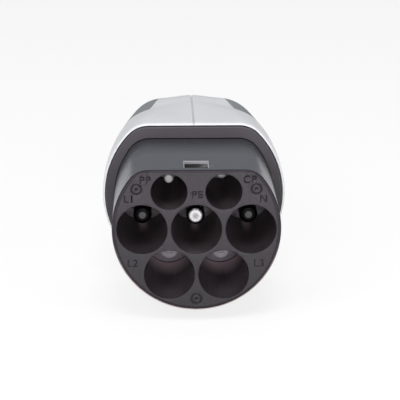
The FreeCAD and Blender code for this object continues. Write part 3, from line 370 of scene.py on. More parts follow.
bodySurface = {
    "faceRoughness": 0.58,
    "skinRoughness": 0.20,              # the skin is its side, outside
    "cavityRoughness": 0.28,
    "unevenRoughness": 0.10,
    "glossPatch": 3.0,                  # mm
    "insideShine": 0.5,                 # on the face and in the cavities
    "skinShine": 0.10,
    "cloud": 1.1,                       # mm
    "cloudSpan": (0.25, 0.75),
    "faceContrast": 0.24,
    "sideContrast": 0.02,
    "lightest": 1.06,
    "grain": 0.40,                      # mm, and its depth on the face and elsewhere
    "faceDepth": 0.026,
    "sideDepth": 0.0008,
}


def pastZone(tree, value, name):
    # 0 before the place where the zone changes, 1 past it
    low, high = bodyZones[name]
    return rampUp(tree, value, low * mm, high * mm)


def mixBodyColour(tree, axes, outside, pastEdge, behindFace):
    depth, height = axes["Y"], axes["Z"]

    def shade(first, second, factor):
        # both are names of zones or colours that are already mixed
        pair = [paint(*bodyZones[one]) if isinstance(one, str) else one for one in (first, second)]
        return blendPair(tree, "RGBA", *pair, factor)

    upper = pastZone(tree, height, "paleFade")
    # painted light on the lower cavities' walls, growing towards the floor
    litLowWalls = shade("cavity", "paleCavity", pastZone(tree, depth, "wallFade"))
    walls = shade("mouth", shade(litLowWalls, "cavity", upper), pastZone(tree, depth, "mouthFade"))
    cornered = shade(walls, "corner", pastZone(tree, depth, "cornerStart"))
    # painted light on the cavity floors
    floors = shade("paleFloor", "floor", upper)
    cavity = shade(cornered, floors, pastZone(tree, depth, "floorStart"))
    # painted shade: the skin darkens towards the collar
    longSkin = shade("skin", "skinRear", pastZone(tree, depth, "rearFade"))
    # painted shadow where the skin meets the collar
    skin = shade(longSkin, "join", pastZone(tree, depth, "collarShadowStart"))
    # the bevel round the face: a painted highlight on its lower half
    bevel = shade("lowEdge", "highEdge", pastZone(tree, height, "edgeFade"))
    sides = shade(cavity, shade(bevel, skin, pastEdge), outside)
    # painted shade: the face darkens towards its lower edge
    face = shade("faceLow", "face", pastZone(tree, height, "faceFade"))
    return shade(face, sides, behindFace)


def makeBodyPlastic():
    # one moulding, grained on its face, smoother on its sides, dark and glossy in the cavities
    surface = bodySurface
    material, tree, shader = startMaterial("bodyPlastic", bodyZones["face"], surface["faceRoughness"])
    axes = pieceAxes(tree)
    aside = pastZone(tree, axisDistance(tree, axes), "sideStart")
    outside = calculate(tree, "MAXIMUM", aside, pastZone(tree, axes["Z"], "topStart"))
    pastEdge = pastZone(tree, axes["Y"], "edgeEnd")
    behindFace = blendPair(tree, "FLOAT", pastEdge, pastZone(tree, axes["Y"], "edgeStart"), outside)
    colour = mixBodyColour(tree, axes, outside, pastEdge, behindFace)

    cloud = rampUp(tree, addNoise(tree, surface["cloud"] * mm, detail=4.0), *surface["cloudSpan"])
    contrast = blendPair(tree, "FLOAT", surface["faceContrast"], surface["sideContrast"], behindFace)
    darkest = calculate(tree, "SUBTRACT", 1.0, contrast)
    share = blendPair(tree, "FLOAT", darkest, surface["lightest"], cloud)
    tree.links.new(scaleColour(tree, colour, share), shader.inputs["Base Color"])

    shine = blendPair(tree, "FLOAT", surface["insideShine"], surface["skinShine"], outside)
    tree.links.new(shine, shader.inputs["Specular IOR Level"])
    sides = blendPair(tree, "FLOAT", surface["cavityRoughness"], surface["skinRoughness"], outside)
    gloss = blendPair(tree, "FLOAT", surface["faceRoughness"], sides, behindFace)
    patches = addNoise(tree, surface["glossPatch"] * mm, detail=3.0)
    uneven = calculate(tree, "MULTIPLY_ADD", patches, surface["unevenRoughness"], gloss)
    tree.links.new(uneven, shader.inputs["Roughness"])

    bump = grain(tree, shader, surface["grain"] * mm, surface["faceDepth"] * mm)
    depth = blendPair(tree, "FLOAT", surface["faceDepth"] * mm, surface["sideDepth"] * mm, behindFace)
    tree.links.new(depth, bump.inputs["Distance"])
    return material


# Metals

metals = {                  # colour, roughness low and high, turning marks' depth in mm, bare metal share
    "contactSilver": ((252, 251, 250), 0.42, 0.52, 0.0006, 0.35),      # frosted plating
    "lineSilver": ((98, 97, 99), 0.30, 0.46, 0.004, 1.0),
    "screwSteel": ((176, 178, 182), 0.24, 0.36, 0.002, 1.0),
}
metalPatches = {            # uneven colour and gloss, and turning marks, sizes in mm
    "cloud": 2.0,
    "contrast": 0.03,
    "gloss": 1.5,
    "turning": 0.8,
    "turningStretch": (0.05, 8, 0.05),
}
earthTip = {
    "colour": (226, 224, 222),
    "roughness": (0.18, 0.34),
    "gloss": 0.7,           # mm, as are the next three
    "grain": 0.5,
    "depth": 0.003,
    "radius": 3.2,
    "rings": (              # painted highlight and shade on the pin's end, a bright ring and a darker chamfer: radius in mm and colour
        (0.0, (182, 180, 184)),
        (0.7, (190, 188, 192)),
        (1.2, (236, 234, 236)),
        (1.75, (240, 238, 240)),
        (2.1, (124, 122, 126)),
        (3.0, (60, 58, 62)),
    ),
}


def makeMetals():
    made = {}
    patches = metalPatches
    for name, (colour, smooth, rough, depth, bare) in metals.items():
        material, tree, shader = startMaterial(name, colour, smooth)
        shader.inputs["Metallic"].default_value = bare
        mottle(tree, shader, colour, patches["cloud"] * mm, patches["contrast"])
        roughen(tree, shader, patches["gloss"] * mm, smooth, rough)
        grain(tree, shader, patches["turning"] * mm, depth * mm, detail=2.0,
              stretch=patches["turningStretch"])
        made[name] = material
    return made


def makeEarthSilver():
    # bare silver, with painted rings of highlight and shade round the pin's own axis
    form = earthTip
    smooth, rough = form["roughness"]
    material, tree, shader = startMaterial("earthSilver", form["colour"], smooth)
    shader.inputs["Metallic"].default_value = 1.0
    ramp = tree.nodes.new("ShaderNodeValToRGB")
    stops = ramp.color_ramp.elements
    for number, (radius, colour) in enumerate(form["rings"]):
        place = radius / form["radius"]
        stop = stops[number] if number < len(stops) else stops.new(place)
        stop.position = place
        stop.color = paint(*colour)
    reach = rampUp(tree, axisDistance(tree, pieceAxes(tree)), 0.0, form["radius"] * mm)
    tree.links.new(reach, ramp.inputs["Fac"])
    tree.links.new(ramp.outputs["Color"], shader.inputs["Base Color"])
    roughen(tree, shader, form["gloss"] * mm, smooth, rough)
    grain(tree, shader, form["grain"] * mm, form["depth"] * mm)
    return material


# Which node has which finish

nodeFinish = {
    "contact_carrier": "bodyPlastic",
    "front_collar": "collarPlastic",
    "collar_gasket": "sealRubber",
    "contact_retainer": "retainerPlastic",
    "pe_pin": "earthSilver",
    "l1_pin": "lineSilver",
    "n_pin": "lineSilver",
    "pp_pin": "contactSilver",
    "cp_pin": "contactSilver",
    "l1_tip_cap": "capPlastic",
    "n_tip_cap": "capPlastic",
    "l2_blanking_plug": "blankPlastic",
    "l3_blanking_plug": "blankPlastic",
    "pin_o_rings": "sealRubber",
    "retainer_screws": "screwSteel",
    "coding_resistor": "resistorCoat",
    "handle_shell_left": "shellPlastic",
    "handle_shell_right": "shellPlastic",
    "grip_inlay_left": "inlayRubber",
    "grip_inlay_right": "inlayRubber",
    "shell_screws": "screwSteel",
    "cable_clamp_base": "clampPlastic",
    "cable_clamp_strap": "clampPlastic",
    "clamp_screws": "screwSteel",
    "gland_body": "glandPlastic",
    "gland_seal": "sealRubber",
    "gland_claw": "glandPlastic",
    "gland_nut": "glandPlastic",
}


def finishNodes(materials):
    for name, finish in nodeFinish.items():
        slots = nodes[name].data.materials
        slots.clear()
        slots.append(materials[finish])


# Small helpers for modelling

def startPiece():
    # object mode, with nothing selected
    if bpy.context.object and bpy.context.object.mode != "OBJECT":
        bpy.ops.object.mode_set(mode="OBJECT")
    bpy.ops.object.select_all(action="DESELECT")


def pick(piece):
    startPiece()
    piece.select_set(True)
    bpy.context.view_layer.objects.active = piece


def weld(piece, reach=0.001, recalculate=True):
    # merges corners that lie within a reach in mm, and turns the faces outward
    pick(piece)
    bpy.ops.object.mode_set(mode="EDIT")
    bpy.ops.mesh.select_all(action="SELECT")
    bpy.ops.mesh.remove_doubles(threshold=reach * mm)
    if recalculate:
        bpy.ops.mesh.normals_make_consistent(inside=False)
    bpy.ops.object.mode_set(mode="OBJECT")


def smoothPiece(piece, degrees=35):
    pick(piece)
    bpy.ops.object.shade_smooth_by_angle(angle=math.radians(degrees))


def carve(piece, tools, operation="DIFFERENCE"):
    # a tool that changes nothing has missed the piece
    for tool in tools:
        pick(piece)
        cut = piece.modifiers.new("carve", "BOOLEAN")
        cut.operation = operation
        cut.solver = "MANIFOLD"
        cut.object = tool
        faces = len(piece.data.polygons)
        bpy.ops.object.modifier_apply(modifier=cut.name)
        if len(piece.data.polygons) == faces:
            raise ValueError(f"{piece.name}: {tool.name} changes nothing")
        bpy.data.objects.remove(tool, do_unlink=True)


def dress(piece, material, slotName, *replaced):
    piece.data.materials.clear()
    piece.data.materials.append(material)
    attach(piece, "root")
    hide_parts(*replaced)


def addSheet(name, rows, columns, outerPlace, innerPlace):
    # a grid laid on the outer skin, its copy laid on the inner one, and walls between
    startPiece()
    bpy.ops.mesh.primitive_grid_add(x_subdivisions=columns - 1, y_subdivisions=rows - 1)
    piece = bpy.context.object
    piece.name = name
    spots = piece.data.attributes.new("spot", "INT", "POINT")      # extruding copies each corner's number
    for number in range(len(piece.data.vertices)):
        spots.data[number].value = number
    bpy.ops.object.mode_set(mode="EDIT")
    bpy.ops.mesh.select_all(action="SELECT")
    bpy.ops.mesh.extrude_region()
    bpy.ops.object.mode_set(mode="OBJECT")
    spots = piece.data.attributes["spot"]
    for vertex in piece.data.vertices:
        row, column = divmod(spots.data[vertex.index].value, columns)
        vertex.co = innerPlace(row, column) if vertex.select else outerPlace(row, column)
    piece.data.attributes.remove(spots)
    weld(piece)
    return piece


# Handle shells

handleForm = {              # millimetres; stations count from the mating face
    "front": 43.5,
    "end": 182.0,
    "radius": 31.4,         # flat-topped front outline
    "flat": 24.8,
    "corner": 10.0,
    "waistStart": 50.5,     # the half width falls between these
    "waistEnd": 107.0,
    "gripHalfWidth": 19.6,
    "topStart": 86.0,       # the top falls
    "topEnd": 150.0,
    "tailTop": 3.5,
    "sagStart": 61.5,       # the middle of the section sinks
    "sagEnd": 150.0,
    "tailSag": 14.0,
    "outlineStart": 48.0,   # the flat-topped outline turns into the grip's round one
    "outlineEnd": 86.0,
    "topSquareness": 4.8,   # 2 is an ellipse
    "crownDrop": 0.9,       # the top falls beside the seam; angles in radians
    "crownReach": 0.35,
    "crownFade": 0.9,
    "crownEnd": 1.4,
    "tailSquareness": 2.6,
    "fingerStart": 60.0,    # hollow below, and the heel behind it
    "fingerEnd": 165.0,
    "fingerRise": 3.5,
    "heelDrop": 0.6,
    "heelRun": 12.0,
    "wall": 2.8,
    "lip": 0.7,             # wall beside the collar
    "lipEnd": 46.1,
    "frontRound": 1.2,
    "tailRound": 2.5,
    "glandHole": 12.15,     # radius
    "flangeSpace": 14.2,    # radius of the room for the gland's flange
    "flangeStart": 170.0,
    "flangeEnd": 176.1,
    "seamGap": 0.25,        # slot along the split
    "seamDepth": 0.6,
    "seamRound": 0.2,
}

shellGrid = {               # how closely rows and columns lie on a shell
    "rowStep": 1.6,         # millimetres
    "frontRows": 6,
    "tailRows": 7,
    "holeRows": 5,          # on the flat tail face, in to the gland
    "topColumns": 26,
    "inlayColumns": 26,
    "lowColumns": 30,
}

inlayForm = {
    "cornerStation": 73.0,  # upper front corner; the front edge leans forward from it
    "cornerX": 15.6,
    "lean": 0.42,           # forward for each millimetre outward
    "leanStart": 46.5,      # the lean fades out ahead and behind
    "leanEnd": 104.0,
    "waistStation": 87.0,
    "waistX": 12.8,
    "endStation": 153.0,
    "endX": 9.0,
    "frontZ": 6.0,          # lower edge
    "bellyStation": 92.0,
    "bellyZ": -3.0,
    "endZ": -14.0,
    "frontSlope": -0.353,   # of the lower edge
    "bellySlope": -0.33,
    "recess": 1.3,
    "thickness": 1.2,
    "gap": 0.12,
    "edgeRound": 0.35,
    "columns": 24,
}

screwWells = {              # heads sit in wells of the right half
    "spots": ((66.0, -25.0), (100.0, 12.0), (110.0, -22.0), (160.0, -25.0), (160.0, -3.0)),
    "seat": 6.0,
    "wellRadius": 3.2,
    "shankRadius": 1.7,
    "bossRadius": 4.6,
    "bossSides": 32,
    "bossStart": 0.02,      # off the split plane
    "bossDepth": 1.5,       # below the skin
    "wellSides": 48,
    "wellEnd": 40.0,        # well outside the skin
    "overcut": 1.0,         # past the split plane, and into the well
}


def easeStep(place, start, end):
    share = min(max((place - start) / (end - start), 0.0), 1.0)
    return share * share * (3 - 2 * share)


def handleSection(station):
    form = handleForm
    waist = easeStep(station, form["waistStart"], form["waistEnd"])
    width = form["radius"] + (form["gripHalfWidth"] - form["radius"]) * waist
    fall = easeStep(station, form["topStart"], form["topEnd"])
    top = form["flat"] + (form["tailTop"] - form["flat"]) * fall
    middle = -form["tailSag"] * easeStep(station, form["sagStart"], form["sagEnd"])
    fingers = min(max((station - form["fingerStart"]) / (form["fingerEnd"] - form["fingerStart"]), 0), 1)
    hollow = form["fingerRise"] * math.sin(math.pi * fingers) ** 2
    heel = form["heelDrop"] * easeStep(station, form["fingerEnd"] - form["heelRun"], form["fingerEnd"])
    return width, top, middle, -form["radius"] + hollow - heel


def flatToppedReach(angle, radius, flat, corner):
    # from the middle to a circle with a flat top, at an angle from straight up
    if flat >= radius:
        return radius
    cornerZ = flat - corner
    cornerX = math.sqrt(max((radius - corner) ** 2 - cornerZ ** 2, 0.0))
    if angle <= math.atan2(cornerX, flat):
        return flat / math.cos(angle)
    if angle >= math.atan2(cornerX, cornerZ):
        return radius
    along = math.sin(angle) * cornerX + math.cos(angle) * cornerZ
    return along + math.sqrt(max(along ** 2 - cornerX ** 2 - cornerZ ** 2 + corner ** 2, 0.0))


def squaredReach(angle, width, height, squareness):
    side = abs(math.sin(angle)) / width
    rise = abs(math.cos(angle)) / height
    return (side ** squareness + rise ** squareness) ** (-1 / squareness)


def skinReach(angle, station, inset):
    form = handleForm
    width, top, middle, bottom = handleSection(station)
    blend = easeStep(station, form["outlineStart"], form["outlineEnd"])
    tail = easeStep(station, form["outlineEnd"], form["sagEnd"])
    front = flatToppedReach(angle, width - inset, top - middle - inset, form["corner"] - inset)
    if angle < math.pi / 2:
        back = squaredReach(angle, width - inset, top - middle - inset, form["topSquareness"])
        crown = easeStep(angle, 0, form["crownReach"]) - easeStep(angle, form["crownFade"], form["crownEnd"])
        back -= form["crownDrop"] * crown
    else:
        squareness = 2 + (form["tailSquareness"] - 2) * tail
        back = squaredReach(angle, width - inset, middle - bottom - inset, squareness)
    return (1 - blend) * front + blend * back


def skinSpot(angle, station, reach, side):
    # x, y, z in metres; nothing hangs lower than the front of the handle
    middle = handleSection(station)[2]
    z = max(middle + reach * math.cos(angle), -handleForm["radius"])
    return Vector((side * reach * math.sin(angle), station, z)) * mm


def findAngle(low, high, isPast, halvings=40):
    # halves the span between the two angles until it is as good as nothing
    for halving in range(halvings):
        angle = (low + high) / 2
        if isPast(angle):
            high = angle
        else:
            low = angle
    return (low + high) / 2


def angleAtX(x, station):
    return findAngle(0, math.pi / 2, lambda angle: skinReach(angle, station, 0) * math.sin(angle) > x)


def angleAtZ(z, station, inset=0.0):
    drop = z - handleSection(station)[2]
    return findAngle(0, math.pi, lambda angle: skinReach(angle, station, inset) * math.cos(angle) < drop)


def smoothCurve(place, start, end, first, last, firstSlope, lastSlope):
    # passes through both ends with the slopes given there
    run = end - start
    t = (place - start) / run
    return ((2 * t ** 3 - 3 * t ** 2 + 1) * first + (t ** 3 - 2 * t ** 2 + t) * run * firstSlope
            + (3 * t ** 2 - 2 * t ** 3) * last + (t ** 3 - t ** 2) * run * lastSlope)


def inlayUpperX(station):
    # the curve through the corner, the waist and the end
    form = inlayForm
    first = (form["waistX"] - form["cornerX"]) / (form["waistStation"] - form["cornerStation"])
    second = (form["endX"] - form["waistX"]) / (form["endStation"] - form["waistStation"])
    bend = (second - first) / (form["endStation"] - form["cornerStation"])
    run = station - form["cornerStation"]
    return form["cornerX"] + first * run + bend * run * (station - form["waistStation"])


def inlayLowerZ(station):
    form = inlayForm
    if station <= form["bellyStation"]:
        return smoothCurve(station, form["cornerStation"], form["bellyStation"],
                           form["frontZ"], form["bellyZ"], form["frontSlope"], form["bellySlope"])
    return smoothCurve(station, form["bellyStation"], form["endStation"],
                       form["bellyZ"], form["endZ"], form["bellySlope"], 0.0)


def inlaySpan(station):
    # the angles between which the inlay lies; held beyond its two ends
    station = min(max(station, inlayForm["cornerStation"]), inlayForm["endStation"])
    return angleAtX(inlayUpperX(station), station), angleAtZ(inlayLowerZ(station), station)


def leanTable():
    # how far the inlay's front edge leans forward at each degree from straight up
    form = inlayForm
    station = form["cornerStation"]
    upper, lower = inlaySpan(station)
    moves = []
    farthest = 0.0
    for degree in range(181):
        angle = math.pi * degree / 180
        x = skinReach(angle, station, 0) * math.sin(angle)
        farthest = max(farthest, x)
        move = form["lean"] * max(farthest - form["cornerX"], 0.0)
        moves.append(move * (1 - easeStep(angle, lower, math.pi)))
    return moves


leanMoves = leanTable()


def leaned(angle, station):
    # the station, moved forward by the lean at its angle
    form = inlayForm
    degrees = min(max(angle / math.pi * 180, 0), 179.999)
    low = int(degrees)
    move = leanMoves[low] + (leanMoves[low + 1] - leanMoves[low]) * (degrees - low)
    corner = form["cornerStation"]
    fade = easeStep(station, form["leanStart"], corner) - easeStep(station, corner, form["leanEnd"])
    return station - move * fade


def roundOver(distance, radius):
    # how far a rounded edge lies below the surface, at a distance from its side
    if distance >= radius:
        return 0.0
    return radius - math.sqrt(max(radius ** 2 - (radius - distance) ** 2, 0.0))


edgeShares = (0.0, 0.06, 0.2, 0.45, 1.0)     # where a rounded edge has its rows
farAway = 9.0               # from the inlay, where its rounded edge has no say


def spread(start, end, count, skipFirst=False):
    first = 1 if skipFirst else 0
    return [start + (end - start) * step / count for step in range(first, count + 1)]


def stationsBetween(marks, step):
    stations = [marks[0]]
    for start, end in zip(marks, marks[1:]):
        stations += spread(start, end, max(round((end - start) / step), 1), True)
    return stations


def shellRows():
    # each row: station, how far below the skin, distance from the inlay's ends, inside the inlay
    form, inlay, step = handleForm, inlayForm, shellGrid["rowStep"]
    rows = []
    start = math.asin(1 - form["lip"] / form["frontRound"])
    for angle in spread(start, math.pi / 2, shellGrid["frontRows"]):
        station = form["front"] + form["frontRound"] * (1 - math.cos(angle))
        rows.append((station, form["frontRound"] * (1 - math.sin(angle)), farAway, False))
    first, end, edge = inlay["cornerStation"], inlay["endStation"], inlay["edgeRound"]
    firstSkin = form["front"] + form["frontRound"]
    for station in stationsBetween((firstSkin, form["lipEnd"], first - edge), step)[1:-1]:
        rows.append((station, 0.0, farAway, False))
    for share in reversed(edgeShares):
        rows.append((first - edge * share, 0.0, edge * share, False))
    for station in stationsBetween((first, inlay["waistStation"], end), step):
        rows.append((station, 0.0, 0.0, True))
    for share in edgeShares:
        rows.append((end + edge * share, 0.0, edge * share, False))
    lastSkin = form["end"] - form["tailRound"]
    for station in stationsBetween((end + edge, lastSkin), step)[1:]:
        rows.append((station, 0.0, farAway, False))
    for angle in spread(0, math.pi / 2, shellGrid["tailRows"], True):
        station = lastSkin + form["tailRound"] * math.sin(angle)
        rows.append((station, form["tailRound"] * (1 - math.cos(angle)), farAway, False))
    return rows


def seamColumns(station, atBottom):
    # from the split plane out to the skin: slot floor, slot wall, rounded edge
    form = handleForm
    width, top, middle, bottom = handleSection(station)
    rise = middle - max(bottom, -form["radius"]) if atBottom else top - middle
    columns = []
    for x, inset in ((0.0, form["seamDepth"]), (form["seamGap"], form["seamDepth"])):
        columns.append((math.atan2(x, rise), inset, farAway, False))
    for share in edgeShares:
        distance = form["seamRound"] * share
        angle = math.atan2(form["seamGap"] + distance, rise)
        columns.append((angle, roundOver(distance, form["seamRound"]), farAway, False))
    if atBottom:
        columns = [(math.pi - angle, inset, away, inside) for angle, inset, away, inside in columns]
    return columns


def shellColumns(station):
    # each column: angle, below the skin, distance from the inlay's edge, inside the inlay
    grid, edge = shellGrid, inlayForm["edgeRound"]
    upper, lower = inlaySpan(station)
    reach = skinReach(upper, station, 0)
    lowReach = skinReach(lower, station, 0)
    columns = seamColumns(station, False)
    for angle in spread(columns[-1][0], upper - edge / reach, grid["topColumns"], True)[:-1]:
        columns.append((angle, 0.0, farAway, False))
    for share in reversed(edgeShares):
        columns.append((upper - edge * share / reach, 0.0, edge * share, False))
    for angle in spread(upper, lower, grid["inlayColumns"]):
        columns.append((angle, 0.0, 0.0, True))
    for share in edgeShares:
        columns.append((lower + edge * share / lowReach, 0.0, edge * share, False))
    bottomSeam = seamColumns(station, True)
    for angle in spread(lower + edge / lowReach, bottomSeam[-1][0], grid["lowColumns"], True)[:-1]:
        columns.append((angle, 0.0, farAway, False))
    return columns + bottomSeam[::-1]


def addShell(name, side):
    form, inlay = handleForm, inlayForm
    tailRows, holeRows = shellGrid["tailRows"], shellGrid["holeRows"]
    rows = shellRows()
    skinRows = len(rows)
    grid = [shellColumns(row[0]) for row in rows]
    tailStart = form["end"] - form["tailRound"]
    flangeShare = (form["flangeEnd"] - form["flangeStart"]) / (tailStart - form["flangeStart"])

    def outer(row, column):
        skinRow = min(row, skinRows - 1)
        station, rowInset, rowAway, rowInside = rows[skinRow]
        angle, inset, away, inside = grid[skinRow][column]
        station = leaned(angle, station)
        if rowInside and inside:
            inset = inlay["recess"]
        elif max(rowAway, away) < farAway:
            inset += roundOver(math.hypot(rowAway, away), inlay["edgeRound"])
        reach = skinReach(angle, station, max(inset, rowInset))
        if row >= skinRows:
            share = (row - skinRows + 1) / holeRows
            reach += (form["glandHole"] - reach) * share
        return skinSpot(angle, station, reach, side)

    def inner(row, column):
        skinRow = min(row, skinRows - 1)
        angle = grid[skinRow][column][0]
        station = leaned(angle, rows[skinRow][0])
        if rows[skinRow][0] <= form["lipEnd"]:
            reach = skinReach(angle, station, form["lip"])
        elif station < form["flangeStart"]:
            reach = skinReach(angle, station, form["wall"])
        elif station <= tailStart:
            station = form["flangeStart"] + (station - form["flangeStart"]) * flangeShare
            reach = form["flangeSpace"]
        else:
            share = (row - skinRows + 1 + tailRows) / (holeRows + tailRows)
            station = form["flangeEnd"] + (form["end"] - form["flangeEnd"]) * share
            reach = form["glandHole"]
        return skinSpot(angle, station, reach, side)

    return addSheet(name, skinRows + holeRows, len(grid[0]), outer, inner)


def addBoss(station, z, side):
    # a round post across the handle; its far end follows the skin from inside
    wells = screwWells
    startPiece()
    bpy.ops.mesh.primitive_cylinder_add(vertices=wells["bossSides"], radius=wells["bossRadius"] * mm)
    post = bpy.context.object
    for vertex in post.data.vertices:
        y = station + vertex.co.x / mm
        postZ = z + vertex.co.y / mm
        if vertex.co.z < 0:
            x = wells["bossStart"]
        else:
            angle = angleAtZ(postZ, y, wells["bossDepth"])
            x = skinReach(angle, y, wells["bossDepth"]) * math.sin(angle)
        vertex.co = Vector((side * x, y, postZ)) * mm
    weld(post)
    return post


def addRod(radius, start, end, station, z, side):
    # a cutter across the handle, between two distances from the split plane
    startPiece()
    middle = side * (start + end) / 2
    bpy.ops.mesh.primitive_cylinder_add(vertices=screwWells["wellSides"], radius=radius * mm,
                                        depth=(end - start) * mm, rotation=(0, math.pi / 2, 0),
                                        location=(middle * mm, station * mm, z * mm))
    rod = bpy.context.object
    bpy.ops.object.transform_apply(location=True, rotation=True, scale=True)
    return rod


def addShells(materials):
    wells = screwWells
    halves = (("shellLeft", "handle_shell_left", -1), ("shellRight", "handle_shell_right", 1))
    for name, node, side in halves:
        shell = addShell(name, side)
        carve(shell, [addBoss(station, z, side) for station, z in wells["spots"]], "UNION")
        if side > 0:
            bore = (wells["shankRadius"], -wells["overcut"], wells["seat"] + wells["overcut"])
            cuts = [addRod(wells["wellRadius"], wells["seat"], wells["wellEnd"], station, z, side)
                    for station, z in wells["spots"]]
            cuts += [addRod(*bore, station, z, side) for station, z in wells["spots"]]
            carve(shell, cuts)
        smoothPiece(shell)
        dress(shell, materials["shellPlastic"], "shell_plastic", node)
        print(name, "has", len(shell.data.vertices), "vertices")


# Mating body

bodyMarks = {               # contact designations cut into the face: x, z of the middle, stroke in mm
    "words": (("PP", -16.4, 16.3, 0.09), ("CP", 17.0, 16.4, 0.09), ("PE", 0.2, 11.4, 0.07),
              ("L1", -21.6, 10.1, 0.09), ("N", 21.4, 10.0, 0.09), ("L2", -20.6, -11.3, 0.03),
              ("L3", 20.1, -11.5, 0.03)),
    "height": 2.4,
    "capShare": 0.70,       # a capital's height, of the typeface's size
    "narrowing": 0.96,
    "spacing": 1.15,
    "depth": 0.30,
    "markShadeFrom": 0.03,        # a mark's floor and walls get painted shade between these depths
    "markShadeTo": 0.60,
    "markShadeRadius": 26.9,      # and this near to the middle of the face
    "askew": 0.05,          # and no further off the face's plane or its square
    "edgeAngle": 40,        # edges flatter than this are shaded round
}


def copyNode(name, newName):
    mesh = bpy.data.meshes.new_from_object(nodes[name])
    piece = bpy.data.objects.new(newName, mesh)
    bpy.context.scene.collection.objects.link(piece)
    weld(piece, 0.0005, False)      # its loose triangles already point outward
    return piece


def addWord(word, x, z, stroke):
    # a solid of the word, standing half way through the face
    form = bodyMarks
    startPiece()
    bpy.ops.object.text_add(rotation=(math.pi / 2, 0, 0))
    text = bpy.context.object
    text.name = "word" + word
    text.data.body = word
    text.data.align_x = "CENTER"
    text.data.align_y = "CENTER"
    text.data.space_character = form["spacing"]
    text.data.size = form["height"] / form["capShare"] * mm
    text.data.extrude = form["depth"] * mm
    text.data.offset = stroke * mm
    bpy.ops.object.convert(target="MESH")
    text.scale.x = form["narrowing"]
    text.location = (x * mm, 0, z * mm)
    bpy.ops.object.transform_apply(location=True, rotation=True, scale=True)
    weld(text)
    return text


lockRecess = {              # in the flat top, millimetres
    "halfWidth": 3.75,
    "start": 3.2,
    "end": 11.7,
    "top": 19.7,
    "floor": 16.7,
    "edge": 0.35,           # bevel along its rim
    "slack": 0.001,         # how much wider than the recess the foot of the bevel's cutter is
    "near": 0.01,           # faces count as the recess's up to this far from its bounds
    "litSlope": 0.3,        # what faces the front this much gets the painted highlight
    "litAbove": 19.0,       # and so does what faces up this much, from here up
}


def addRimCutter():
    # a block that widens upward, standing on the recess with its bevel below the top
    form = lockRecess
    startPiece()
    bpy.ops.mesh.primitive_cube_add(size=1)
    block = bpy.context.object
    middle = (form["start"] + form["end"]) / 2
    for vertex in block.data.vertices:
        high = vertex.co.z > 0
        grow = 2 * form["edge"] if high else form["slack"]
        x = math.copysign(form["halfWidth"] + grow, vertex.co.x)
        y = middle + math.copysign(middle - form["start"] + grow, vertex.co.y)
        z = form["top"] + form["edge"] if high else form["top"] - form["edge"]
        vertex.co = Vector((x, y, z)) * mm
    weld(block)
    return block


def isMark(face):
    # the floors and walls of the words and of the round moulding marks, which get painted shade
    form = bodyMarks
    lean = abs(face.normal.y)
    return (form["markShadeFrom"] * mm < face.center.y < form["markShadeTo"] * mm
            and face.center.length < form["markShadeRadius"] * mm
            and (lean > 1 - form["askew"] or lean < form["askew"]))


def isRecess(face):
    form, spot = lockRecess, face.center
    return (abs(spot.x) < (form["halfWidth"] + form["edge"]) * mm
            and form["start"] - form["edge"] < spot.y / mm < form["end"] + form["edge"]
            and form["floor"] - form["near"] < spot.z / mm < form["top"] - form["near"])


def isLit(face):
    # the recess's rear wall and its bevel, which get a painted highlight
    form, slope = lockRecess, lockRecess["litSlope"]
    return face.normal.y < -slope or face.normal.z > slope and face.center.z > form["litAbove"] * mm


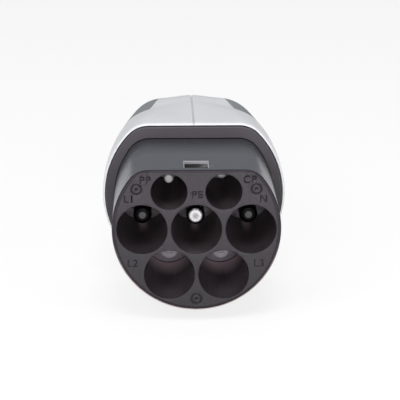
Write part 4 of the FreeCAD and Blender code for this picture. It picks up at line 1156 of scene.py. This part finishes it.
def addMatingBody(materials):
    form = bodyMarks
    body = copyNode("contact_carrier", "matingBody")
    carve(body, [addRimCutter()] + [addWord(*mark) for mark in form["words"]])
    dress(body, materials["bodyPlastic"], "carrier_plastic", "contact_carrier")
    # the marks and the recess get painted shade, the recess's rear wall a painted highlight
    slots = ("bodyPlastic", "markShade", "recessShade", "recessWallHighlight")
    for name in slots[1:]:
        body.data.materials.append(materials[name])
    for face in body.data.polygons:
        if isMark(face):
            face.material_index = slots.index("markShade")
        elif isRecess(face):
            face.material_index = slots.index("recessWallHighlight" if isLit(face) else "recessShade")
    smoothPiece(body, form["edgeAngle"])
    weigh = body.modifiers.new("weigh", "WEIGHTED_NORMAL")
    weigh.keep_sharp = True
    weigh.weight = 100      # the largest faces decide how a corner is shaded
    pick(body)
    bpy.ops.object.modifier_apply(modifier=weigh.name)
    print("mating body has", len(body.data.polygons), "faces")


# Grip inlays

def addInlays(materials):
    form = inlayForm
    gap, edge = form["gap"], form["edgeRound"]
    first, last = form["cornerStation"] + gap, form["endStation"] - gap
    rows = [(first + edge * share, edge * share) for share in edgeShares]
    marks = (first + edge, form["waistStation"], last - edge)
    rows += [(station, edge) for station in stationsBetween(marks, shellGrid["rowStep"])[1:-1]]
    rows += [(last - edge * share, edge * share) for share in reversed(edgeShares)]
    grid = []
    for station, away in rows:
        upper, lower = inlaySpan(station)
        upperReach, lowerReach = skinReach(upper, station, 0), skinReach(lower, station, 0)
        start, end = upper + (gap + edge) / upperReach, lower - (gap + edge) / lowerReach
        columns = [(upper + (gap + edge * share) / upperReach, edge * share) for share in edgeShares]
        columns += [(angle, edge) for angle in spread(start, end, form["columns"])[1:-1]]
        columns += [(lower - (gap + edge * share) / lowerReach, edge * share)
                    for share in reversed(edgeShares)]
        grid.append(columns)

    for name, node, side in (("inlayLeft", "grip_inlay_left", -1), ("inlayRight", "grip_inlay_right", 1)):
        def outer(row, column):
            station, rowAway = rows[row]
            angle, away = grid[row][column]
            station = leaned(angle, station)
            inset = roundOver(min(rowAway, away), edge)
            return skinSpot(angle, station, skinReach(angle, station, inset), side)

        def inner(row, column):
            angle = grid[row][column][0]
            station = leaned(angle, rows[row][0])
            return skinSpot(angle, station, skinReach(angle, station, form["thickness"]), side)

        inlay = addSheet(name, len(rows), len(grid[0]), outer, inner)
        smoothPiece(inlay)
        dress(inlay, materials["inlayRubber"], "inlay_rubber", node)
        print(name, "has", len(inlay.data.vertices), "vertices")


addCamera()
addFloor()
addWorld()
addLamps()
print("studio ready")
materials = {**makePlastics(), **makeMetals(), "bodyPlastic": makeBodyPlastic(),
             "earthSilver": makeEarthSilver()}
finishNodes(materials)
print("materials ready:", len(materials))
addMatingBody(materials)
addShells(materials)
addInlays(materials)

scene = bpy.context.scene
scene.view_settings.view_transform = "Standard"
